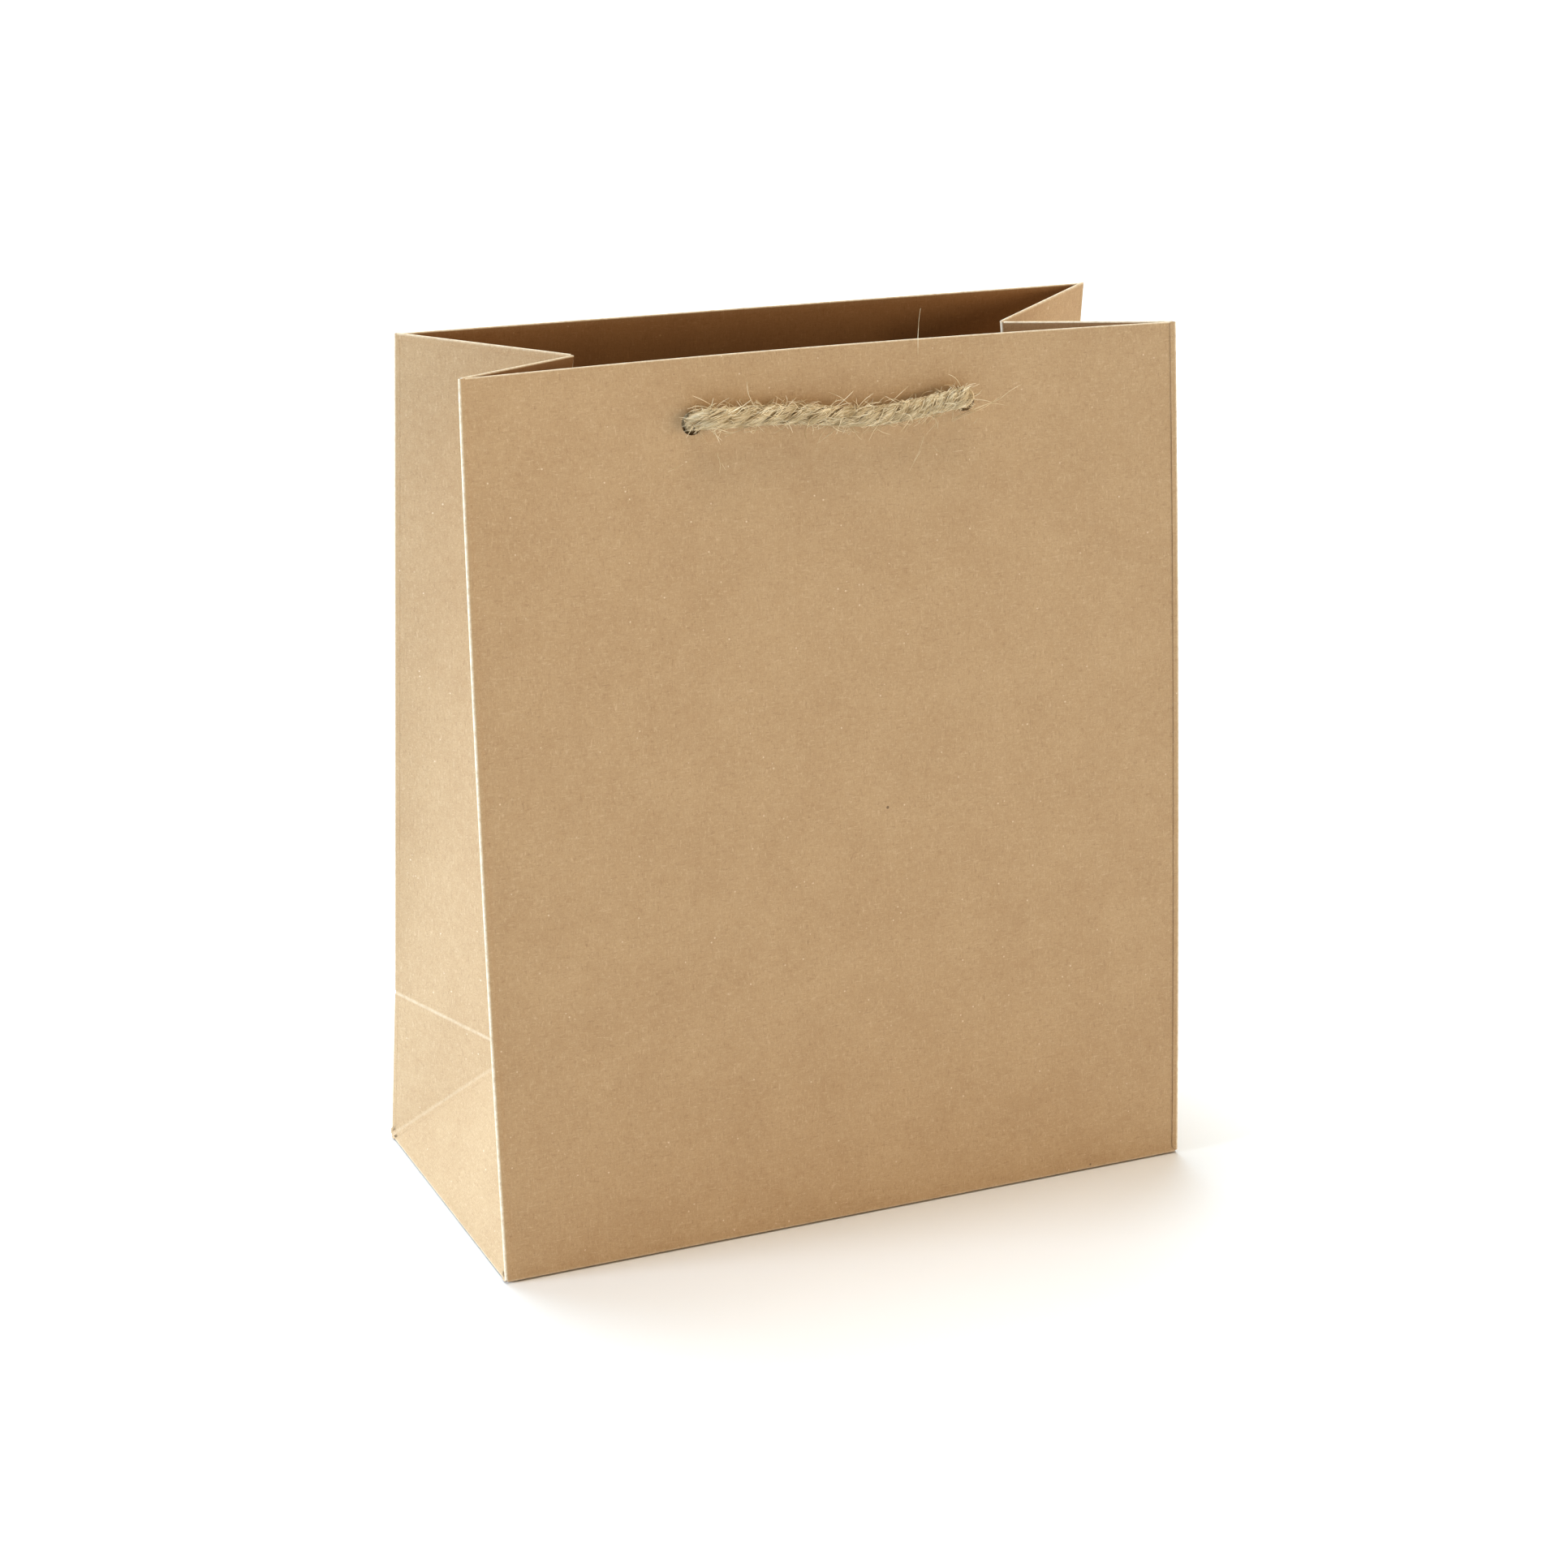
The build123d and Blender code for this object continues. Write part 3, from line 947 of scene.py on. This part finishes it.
def twist_blend(obj, side, stem, edge, fold):
    """Let a gusset half turn softly across its diagonal."""
    if edge == "front_edge":
        start, end, own, other = FOLD_BASE, FRONT_RIM, FRONT_BASE, FOLD_RIM
    else:
        start, end, own, other = HEEL, FOLD_RIM, BACK_RIM, FOLD_BASE
    along = (end - start).normalized()
    middle = (start + end) / 2
    way_own = own - start
    way_own = (way_own - along * way_own.dot(along)).normalized()
    way_other = other - start
    way_other = (way_other - along * way_other.dot(along)).normalized()
    spread = 8 * MM
    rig.blend(obj, f"{stem}_{edge}", f"{stem}_{fold}", start=on_side(middle + way_own * spread, side),
             end=on_side(middle + way_other * spread, side))


def make_gusset_creases(side, stem, out_rear):
    """The eight creases of one side."""
    front_left = along_side(front_wall, "left")
    back_left = along_side(back_wall, "left")
    lower_left = along_side(lower_back_wall, "left")
    half_front_outer = along_side(front_half, "left")
    half_rear_outer = along_side(rear_half, "left")
    half_front_inner = along_side(front_half, "right")
    half_rear_inner = along_side(rear_half, "right")
    rear_half_low = along_side(rear_half, "low")
    floor_side = flat_side(FRONT_BASE, BACK_BASE, point(0, 0, 0))
    base_side = flat_side(FRONT_BASE, BACK_BASE, FOLD_BASE)
    heel_side = flat_side(BACK_BASE, HEEL, FOLD_BASE)
    base_front = flat_side(FRONT_BASE, FOLD_BASE, BACK_BASE)
    base_rear = flat_side(BACK_BASE, FOLD_BASE, FRONT_BASE)
    heel_low = flat_side(BACK_BASE, FOLD_BASE, HEEL)
    heel_top = flat_side(HEEL, FOLD_BASE, BACK_BASE)
    half_front_low = along_side(front_half, "low")
    creases = (
        ("front_crease", front_left, half_front_outer, 1.0, 60, FRONT_OUT, True, False,
         ("front_panel", "front_edge")),
        ("rear_crease", back_left, half_rear_outer, 0.8, 60, BACK_OUT, True, False,
         ("back_panel", "rear_edge")),
        ("heel_crease", lower_left, heel_side, 0.7, 8, LOWER_BACK_OUT, True, True,
         ("back_lower", "heel")),
        ("base_crease", floor_side, base_side, 0.6, 8, DOWN, True, True, ("base", "base")),
        ("front_base_crease", base_front, half_front_low, 0.8, 24, None, True, True, ("base", None)),
        ("rear_base_crease", base_rear, heel_low, 0.12, 8, None, True, True, ("base", None)),
        ("cross_crease", heel_top, rear_half_low, 0.34, 24, None, True, True, ("heel", None)),
        ("centre_crease", half_rear_inner, half_front_inner, 0.9, 60, None, True, False,
         ("rear_fold", None)),
    )
    for name, first, second, amount, rows, outward, low, top, bodies in creases:
        reach = LAP if name == "centre_crease" else CREASE_REACH
        place = crease_place(first, second, CREASE_REACH, reach, low, top)
        if outward is None:
            outward = {"front_base_crease": facing(base_triangle, MIDDLE),
                       "rear_base_crease": facing(base_triangle, MIDDLE),
                       "cross_crease": facing(heel_triangle, MIDDLE),
                       "centre_crease": out_rear}[name]
        swapped = lambda u, v, place=place: on_side(place(v, u), side)
        wear = crease_wear(amount)
        obj = paper_piece(f"{stem}_{name}", rows, 14, swapped, on_side(outward, side), proud=PROUD,
                          wear=lambda u, v, wear=wear: wear(v, u))
        first_side = lambda share, distance, first=first: on_side(first(share, distance), side)
        second_side = lambda share, distance, second=second: on_side(second(share, distance), side)
        fixed = {"front_panel", "back_panel", "back_lower"}
        if bodies[1] is None:
            kraft_ride(obj, f"{stem}_{bodies[0]}")
            continue
        one = bodies[0] if bodies[0] in fixed or name == "base_crease" else f"{stem}_{bodies[0]}"
        blend_over(obj, one, f"{stem}_{bodies[1]}", first_side, second_side)
        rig.slot(obj, "kraft_paper")


def make_base():
    """Folded base flaps, the loose board on them and the glued side seam."""
    end = 108 * MM
    edge = 51 * MM - SHEET_GAP
    lap = 11 * MM

    def front_flap(u, v):
        return Vector((-end + 2 * end * u, -edge + (edge + lap) * v, 0.0))

    def back_flap(u, v):
        y = edge - (edge + lap) * v
        lift = eased((14 * MM - y) / (3 * MM)) * 0.28 * MM
        return Vector((-end + 2 * end * u, y, lift))

    def side_flap(u, v):
        reach = SHEET_GAP + (46 * MM - SHEET_GAP) * v
        half = (50 - 44 * v) * MM
        y = -half + 2 * half * u
        over = 0.28 * MM * eased((reach - 1.6 * MM) / (2 * MM))
        over += 0.28 * MM * eased((13 * MM - abs(y)) / (3 * MM)) * eased((reach - 3 * MM) / (3 * MM))
        return Vector((-110 * MM + reach, y, over))

    kraft_ride(paper_piece("base_flap_front_paper", 40, 14, front_flap, DOWN), "base", "base_flap_front")
    kraft_ride(paper_piece("base_flap_back_paper", 40, 40, back_flap, DOWN), "base", "base_flap_back")
    for label, side in (("left", 1), ("right", -1)):
        kraft_ride(paper_piece(f"base_flap_{label}_paper", 40, 30, sided(side_flap, side), DOWN),
                   "base", f"base_flap_{label}")
    board = frame["nodes"]["base_board"]
    board.data.materials.clear()
    board.data.materials.append(BOARD)
    make_seam()


def make_seam():
    """Glued overlap inside the back, along its right edge."""
    for name, wall, outward, body, low, top in (
            ("side_seam_lower", lower_back_wall, LOWER_BACK_OUT, "back_lower", 1.3 * MM, 0.3 * MM),
            ("side_seam_upper", back_wall, BACK_OUT, "back_panel", 0.3 * MM, 40 * MM)):
        height = (wall(0.5, 1) - wall(0.5, 0)).length

        def place(u, v, wall=wall, outward=outward, low=low, top=top, height=height):
            across = 1 - (6 * MM + 12 * MM * u) / PANEL_WIDTH
            spot = wall(across, low / height + v * (1 - (low + top) / height))
            return spot - outward * (PAPER + LAYER_GAP)
        kraft_ride(paper_piece(f"{name}_paper", 4, 20, place, outward), body, name)


# ---------------------------------------------------------------- rope

def mesh_of(curve, name):
    """The mesh of a curve with its bevel; the curve itself is cleared away."""
    obj = bpy.data.objects.new(name + "_curve", curve)
    bpy.context.scene.collection.objects.link(obj)
    graph = bpy.context.evaluated_depsgraph_get()
    mesh = bpy.data.meshes.new_from_object(obj.evaluated_get(graph))
    mesh.name = name
    bpy.data.objects.remove(obj)
    bpy.data.curves.remove(curve)
    return mesh


def rope_line(route):
    """Points of the smooth line that a rope follows, read from its own curve."""
    curve = bpy.data.curves.new("rope_line", "CURVE")
    curve.dimensions = "3D"
    curve.resolution_u = 16
    spline = curve.splines.new("NURBS")
    spline.points.add(len(route) - 1)
    for control, place in zip(spline.points, route):
        control.co = (*place, 1.0)
    spline.order_u = 3
    spline.use_endpoint_u = True
    mesh = mesh_of(curve, "rope_line")
    points = [vert.co.copy() for vert in mesh.vertices]
    bpy.data.meshes.remove(mesh)
    return points


def stepped(points, step):
    """The line again with its points a step apart, and each point's distance along it."""
    result = [(points[0].copy(), 0.0)]
    walked, wanted = 0.0, step
    for here, ahead in zip(points, points[1:]):
        length = (ahead - here).length
        while length > 0 and wanted <= walked + length:
            result.append((between(here, ahead, (wanted - walked) / length), wanted))
            wanted += step
        walked += length
    return result


def framed(line):
    """Each point of a line with two directions square to it that never flip."""
    result = []
    side = None
    for index, (place, distance) in enumerate(line):
        behind = line[max(index - 1, 0)][0]
        ahead = line[min(index + 1, len(line) - 1)][0]
        tangent = (ahead - behind).normalized()
        if side is None:
            side = tangent.orthogonal().normalized()
        side = (side - tangent * side.dot(tangent)).normalized()
        result.append((place, side, tangent.cross(side), tangent, distance))
    return result


def lay_turns(line, lays):
    """How far the strands have turned at each point; lays gives the lay at shares of the length."""
    total = line[-1][4]
    turns, turned, last = [], 0.0, 0.0
    for _, _, _, _, distance in line:
        share = distance / total
        for (low, first), (high, second) in zip(lays, lays[1:]):
            if low <= share <= high:
                lay = first + (second - first) * (share - low) / (high - low)
                break
        turned -= 2 * math.pi * (distance - last) / lay
        last = distance
        turns.append(turned)
    return turns


def round_profile(radius, lobes, depth):
    """A strand's outline: round with the ridges of its yarns."""
    curve = bpy.data.curves.new("strand_outline", "CURVE")
    curve.dimensions = "2D"
    spline = curve.splines.new("POLY")
    count = lobes * 3
    spline.points.add(count - 1)
    for index, control in enumerate(spline.points):
        angle = 2 * math.pi * index / count
        reach = radius * (1 + (depth if index % 3 == 1 else -depth * (index % 3 == 0)))
        control.co = (reach * math.cos(angle), reach * math.sin(angle), 0, 1)
    spline.use_cyclic_u = True
    obj = bpy.data.objects.new("strand_outline", curve)
    bpy.context.scene.collection.objects.link(obj)
    return obj


def laid_rope(name, points, diameter, lays, seed, step=0.7 * MM):
    """Three strands laid round a line, with uneven thickness."""
    rng = random.Random(seed)
    line = framed(stepped(points, step))
    turns = lay_turns(line, lays)
    strand = diameter * STRAND_RADIUS
    offset = diameter * STRAND_OFFSET
    profile = round_profile(strand, STRAND_YARNS, 0.06)
    curve = bpy.data.curves.new(name, "CURVE")
    curve.dimensions = "3D"
    curve.bevel_mode = "OBJECT"
    curve.bevel_object = profile
    curve.use_fill_caps = True
    phases = [rng.uniform(0, 50) for _ in range(3)]
    for number in range(3):
        spline = curve.splines.new("POLY")
        spline.points.add(len(line) - 1)
        for index, (place, side, up, _, distance) in enumerate(line):
            angle = turns[index] + 2 * math.pi * number / 3
            wander = noise.noise(Vector((distance * 130, phases[number], seed)))
            swell = noise.noise(Vector((distance * 260, seed, phases[number])))
            reach = offset * (1 + 0.10 * wander)
            control = spline.points[index]
            control.co = (*(place + side * reach * math.cos(angle) + up * reach * math.sin(angle)), 1)
            control.radius = 1 + 0.10 * swell
            control.tilt = -0.7 * turns[index]
    mesh = mesh_of(curve, name)
    mark_windings(mesh, line, len(line), 3 * STRAND_YARNS, diameter)
    outline = profile.data
    bpy.data.objects.remove(profile)
    bpy.data.curves.remove(outline)
    for face in mesh.polygons:
        face.use_smooth = True
    return put(name, mesh, JUTE), line, turns


def mark_windings(mesh, line, rings, count, diameter):
    """Give each point its place round and along its strand, and how far out it lies in the rope, which sets the
    painted shade between strands.
    """
    mesh.attributes.new("winding", "FLOAT_VECTOR", "POINT")
    mesh.attributes.new("outer", "FLOAT", "POINT")
    winding = mesh.attributes["winding"]
    outer = mesh.attributes["outer"]
    for index, vert in enumerate(mesh.vertices):
        ring = (index // count) % rings
        strand = index // (count * rings)
        angle = 2 * math.pi * (index % count) / count
        place, _, _, _, distance = line[ring]
        radius = diameter / 4
        round_strand = radius * math.cos(angle), radius * math.sin(angle)
        winding.data[index].vector = (round_strand[0] + strand * 0.1, round_strand[1], distance)
        outer.data[index].value = (vert.co - place).length / (diameter / 2)


def tied_knot(name, top, way, seed):
    """An overhand knot in the rope's end: top is where the rope runs in and way points on along it."""
    down = way.normalized()
    side = down.orthogonal().normalized()
    across = down.cross(side)
    ring, tube = 3.0 * MM, 1.9 * MM
    centre = top + down * 5.2 * MM
    loop = []
    for index in range(49):
        angle = math.pi * (0.22 + 1.56 * index / 48)
        reach = ring + tube * math.cos(3 * angle)
        loop.append(centre + side * (reach * math.cos(2 * angle)) + across * (reach * math.sin(2 * angle))
                    + down * (tube * 1.25 * math.sin(3 * angle)))
    tail = [centre + down * (6.0 * MM) + side * (0.8 * MM), centre + down * (16.5 * MM) + side * (1.4 * MM)]
    controls = [top - down * (2.0 * MM)] + loop[::4] + tail
    lays = [(0, 12 * MM), (1, 12 * MM)]
    return laid_rope(name, rope_line(controls), KNOT_ROPE_DIAMETER, lays, seed, 1.0 * MM)


def thread(splines, places):
    """One loose fibre through a few places."""
    spline = splines.new("NURBS")
    spline.points.add(len(places) - 1)
    for index, (control, place) in enumerate(zip(spline.points, places)):
        control.co = (*place, 1.0)
        control.radius = 1.0 if index < len(places) - 1 else 0.55
    spline.order_u = 3
    spline.use_endpoint_u = True


def fibre_piece(name, threads, thickness):
    """Loose fibres as one thin-walled piece."""
    curve = bpy.data.curves.new(name, "CURVE")
    curve.dimensions = "3D"
    curve.resolution_u = 2
    curve.bevel_depth = thickness / 2
    curve.bevel_resolution = 0
    curve.use_fill_caps = True
    for places in threads:
        thread(curve.splines, places)
    mesh = mesh_of(curve, name)
    for face in mesh.polygons:
        face.use_smooth = True
    return put(name, mesh, FIBRE)


def clinging(rng, line, turns, index, diameter, run, drift):
    """A fibre that follows the strands over the rope's surface for a short run."""
    start = rng.uniform(0, 2 * math.pi)
    places = []
    for step in range(5):
        here = min(index + int(run * step / 4), len(line) - 1)
        place, side, up, _, _ = line[here]
        angle = start + (turns[here] - turns[index]) * drift
        reach = diameter / 2 * rng.uniform(0.95, 1.05)
        places.append(place + side * reach * math.cos(angle) + up * reach * math.sin(angle))
    return places


def standing(rng, line, index, diameter, length):
    """A fibre that leaves the rope and curls away from it."""
    place, side, up, tangent, _ = line[index]
    angle = rng.uniform(0, 2 * math.pi)
    out = side * math.cos(angle) + up * math.sin(angle)
    along = tangent * rng.choice((-1, 1))
    lean = rng.uniform(0.3, 1.3)
    curl = Vector([rng.uniform(-1, 1) for _ in range(3)]) * 0.35
    root = place + out * diameter * 0.44
    first = root + (out * 0.35 + along * lean * 0.5).normalized() * length * 0.35
    second = first + (out * 0.5 + along * lean + curl).normalized() * length * 0.35
    third = second + (out * 0.2 + along * lean + curl * 2).normalized() * length * 0.3
    return [root, first, second, third]


def rope_fibres(name, line, turns, diameter, spans, seed, own=()):
    """Fibres on a rope: spans give part of its length and how many cling to it and stand off there."""
    rng = random.Random(seed)
    threads = [[Vector(place) * MM for place in places] for places in own]
    for low, high, close, loose in spans:
        first, last = int(low * (len(line) - 1)), int(high * (len(line) - 1))
        for _ in range(close):
            index = rng.randint(first, last)
            run = rng.uniform(4, 11)
            threads.append(clinging(rng, line, turns, index, diameter, run, rng.uniform(0.2, 1.1)))
        for _ in range(loose):
            index = rng.randint(first, last)
            length = min(rng.expovariate(1 / 2.3) + 1.2, 9.0) * MM
            threads.append(standing(rng, line, index, diameter, length))
    return fibre_piece(name, threads, FIBRE_THICKNESS)


def frayed_end(name, end, way, seed, count=90):
    """The brush of fibres at a rope's cut end."""
    rng = random.Random(seed)
    side = way.orthogonal().normalized()
    across = way.cross(side)
    threads = []
    for _ in range(count):
        angle, reach = rng.uniform(0, 2 * math.pi), ROPE_DIAMETER * 0.4 * math.sqrt(rng.random())
        out = side * math.cos(angle) + across * math.sin(angle)
        root = end + out * reach - way * (1.5 * MM)
        length = rng.uniform(2.0, 4.5) * MM
        bend = out * rng.uniform(0.1, 0.9) + side * rng.uniform(-0.3, 0.3)
        middle = root + (way + bend * 0.4).normalized() * length * 0.55
        threads.append([root, middle, middle + (way + bend).normalized() * length * 0.6])
    return fibre_piece(name, threads, FIBRE_THICKNESS)


# ---------------------------------------------------------------- set

def make_camera():
    """Seen from the front left, a little above."""
    camera = bpy.data.cameras.new("camera")
    camera.lens = 76.1
    camera.sensor_width = 36
    camera.clip_start = 0.01
    obj = bpy.data.objects.new("camera", camera)
    bpy.context.scene.collection.objects.link(obj)
    turn = Euler((math.radians(90 - 19.97), 0, math.radians(-25.16))).to_matrix()
    turn = turn @ Matrix.Rotation(math.radians(1.29), 3, "Z")
    target = Vector((-0.0219, -0.0405, 0.1346))
    obj.matrix_world = Matrix.Translation(target + turn @ Vector((0, 0, 0.933))) @ turn.to_4x4()
    bpy.context.scene.camera = obj


def sun(name, direction, strength, tint, softness):
    """A wide soft light from a direction."""
    light = bpy.data.lights.new(name, "SUN")
    light.energy = strength
    light.color = tint
    light.angle = math.radians(softness)
    obj = bpy.data.objects.new(name, light)
    obj.rotation_euler = Vector(direction).to_track_quat("Z", "Y").to_euler()
    bpy.context.scene.collection.objects.link(obj)


def make_set():
    """Pale floor and soft light."""
    bm = bmesh.new()
    bmesh.ops.create_grid(bm, x_segments=1, y_segments=1, size=8.0)
    mesh = bpy.data.meshes.new("floor")
    bm.to_mesh(mesh)
    bm.free()
    material, _, shader = material_tree("floor")
    shader.inputs["Base Color"].default_value = colour(0.86, 0.86, 0.86)
    shader.inputs["Roughness"].default_value = 0.9
    floor = put("floor", mesh, material)
    floor.location.z = -0.0004
    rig.stage(floor)
    world = bpy.data.worlds.new("studio")
    world.use_nodes = True
    world.node_tree.nodes["Background"].inputs[0].default_value = colour(1.0, 0.93, 0.85)
    split = add(world.node_tree, "ShaderNodeSeparateXYZ",
                Vector=add(world.node_tree, "ShaderNodeTexCoord").outputs["Generated"])
    height = maths(world.node_tree, "ABSOLUTE", split.outputs["Z"], 0.0)
    glow = ranged(world.node_tree, height, 0.05, 0.16, 1.0, 0.05)
    world.node_tree.links.new(glow, world.node_tree.nodes["Background"].inputs[1])
    bpy.context.scene.world = world
    sun("left_light", (-0.87, 0.10, 0.24), 3.2, (0.96, 1.17, 1.42), 20)
    sun("right_light", (0.76, -0.64, 0.12), 1.36, (1.0, 0.78, 0.53), 25)
    sun("right_high_light", (0.85, 0.05, 0.5), 0.6, (1.0, 0.92, 0.84), 30)
    sun("back_light", (0.0, 0.5, 0.85), 2.5, (0.72, 0.96, 1.15), 40)
    sun("top_light", (0.0, 0.0, 1.0), 1.6, (1.05, 0.90, 0.68), 40)
    bpy.context.scene.view_settings.view_transform = "Standard"


make_camera()
make_walls()
make_wall_creases()
make_gusset(1)
make_gusset(-1)
make_base()
make_set()

# Loose fibres that stand clear of the front rope and lie over the paper around it
FRONT_OWN_FIBRES = [
    [(36.8, -21.6, 230.4), (40.6, -22.4, 232.2), (44.9, -22.8, 233.5), (48.9, -23.2, 234.9),
     (53.8, -23.0, 233.4)],
    [(36.8, -21.8, 230.0), (41.6, -22.6, 232.7), (47.1, -23.2, 234.4), (50.9, -23.8, 235.4),
     (53.8, -24.0, 238.0), (57.9, -23.6, 239.4)],
    [(37.3, -21.4, 229.7), (41.6, -22.2, 231.8), (46.1, -22.5, 232.9), (49.6, -22.7, 234.8),
     (51.6, -22.5, 236.0)],
    [(26.4, -23.4, 222.6), (25.1, -23.0, 220.1), (23.4, -22.7, 216.8)],
    [(27.3, -23.3, 226.6), (26.3, -23.9, 223.1), (24.3, -23.2, 219.5)],
    [(-25.0, -20.9, 231.6), (-25.3, -21.8, 234.9), (-24.6, -21.9, 240.6)],
    [(-34.2, -23.6, 231.9), (-30.3, -24.2, 233.5), (-26.3, -24.0, 234.3)],
    [(-28.1, -23.0, 232.4), (-24.8, -23.8, 233.1), (-22.1, -23.6, 233.2)],
    [(-43.9, -22.4, 236.8), (-43.1, -23.6, 235.2), (-40.7, -23.8, 232.7)],
    [(-36.3, -22.7, 227.4), (-34.7, -23.2, 224.3), (-35.6, -23.3, 221.7)],
    [(-34.8, -22.9, 224.3), (-33.8, -23.4, 222.4)],
    [(-51.1, -23.5, 223.5), (-48.9, -23.9, 224.3), (-46.6, -23.6, 225.2)],
    [(36.8, -22.3, 230.9), (36.6, -23.2, 233.3), (36.3, -23.0, 234.7)],
    [(31.1, -22.6, 229.7), (29.1, -23.5, 228.4), (28.1, -23.3, 227.2)],
    [(31.6, -23.2, 228.5), (31.3, -24.2, 231.1)],
    [(31.1, -23.6, 222.8), (32.1, -23.8, 221.6), (33.3, -23.6, 221.5)],
    [(36.6, -23.6, 221.5), (39.6, -24.0, 221.7)],
    [(43.4, -22.8, 229.0), (44.4, -23.4, 230.7)],
    [(27.6, -17.4, 249.0), (27.0, -17.6, 257.8), (28.0, -17.2, 262.0)],
]


def rope_with_ends(node, body, route, lays, seed, length, spans, own):
    """One handle: its laid rope, loose fibres, and the two knots with their frayed ends."""
    rope, line, turns = laid_rope(f"{node}_rope", rope_line([point(*place) for place in route]),
                                  ROPE_DIAMETER, lays, seed)
    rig.ride(rope, body)
    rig.replaces(rope, f"{node}_handle_rope")
    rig.slot(rope, "jute_rope")
    pieces = [rope_fibres(f"{node}_rope_fibres", line, turns, ROPE_DIAMETER, spans, seed + 1, own)]
    for label, end, before in (("left", line[0][0], line[3][0]), ("right", line[-1][0], line[-4][0])):
        way = (end - before).normalized()
        knot, knot_line, _ = tied_knot(f"{node}_knot_{label}_tied", end, way, seed + 5)
        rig.replaces(knot, f"{node}_knot_{label}")
        cut, behind = knot_line[-1][0], knot_line[-3][0]
        brush = frayed_end(f"{node}_frayed_end_{label}", cut, (cut - behind).normalized(), seed + 7)
        pieces += [knot, brush]
    for piece in pieces:
        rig.ride(piece, body)
        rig.slot(piece, "jute_rope")
    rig.cord(rope, exit=line[0][0], length=length, diameter=ROPE_DIAMETER, far_end="knot", stiffness="limp",
            lay="hanging", path=[place for place, _, _, _, _ in line],
            with_pieces=[piece.name for piece in pieces])


FRONT_LAYS = [(0, 14 * MM), (0.38, 21 * MM), (0.48, 17 * MM), (0.60, 10.5 * MM), (0.66, 9 * MM),
              (1, 13 * MM)]
BACK_LAYS = [(0, 12 * MM), (0.4, 14 * MM), (0.6, 12 * MM), (1, 14 * MM)]
FRONT_SPANS = [(0, 0.355, 160, 90), (0.355, 0.645, 900, 620), (0.645, 1, 160, 90)]
BACK_SPANS = [(0, 0.355, 220, 120), (0.355, 0.645, 420, 220), (0.645, 1, 220, 120)]
rope_with_ends("front", "front_panel", FRONT_ROUTE, FRONT_LAYS, 11, FRONT_ROPE_LENGTH, FRONT_SPANS,
               FRONT_OWN_FIBRES)
rope_with_ends("back", "back_panel", BACK_ROUTE, BACK_LAYS, 23, BACK_ROPE_LENGTH, BACK_SPANS, ())

visual_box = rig.bounds()
with open("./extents.json", "w") as file:
    json.dump({"cad": [list(corner) for corner in cad_box],
               "visual": [list(corner) for corner in visual_box]}, file)
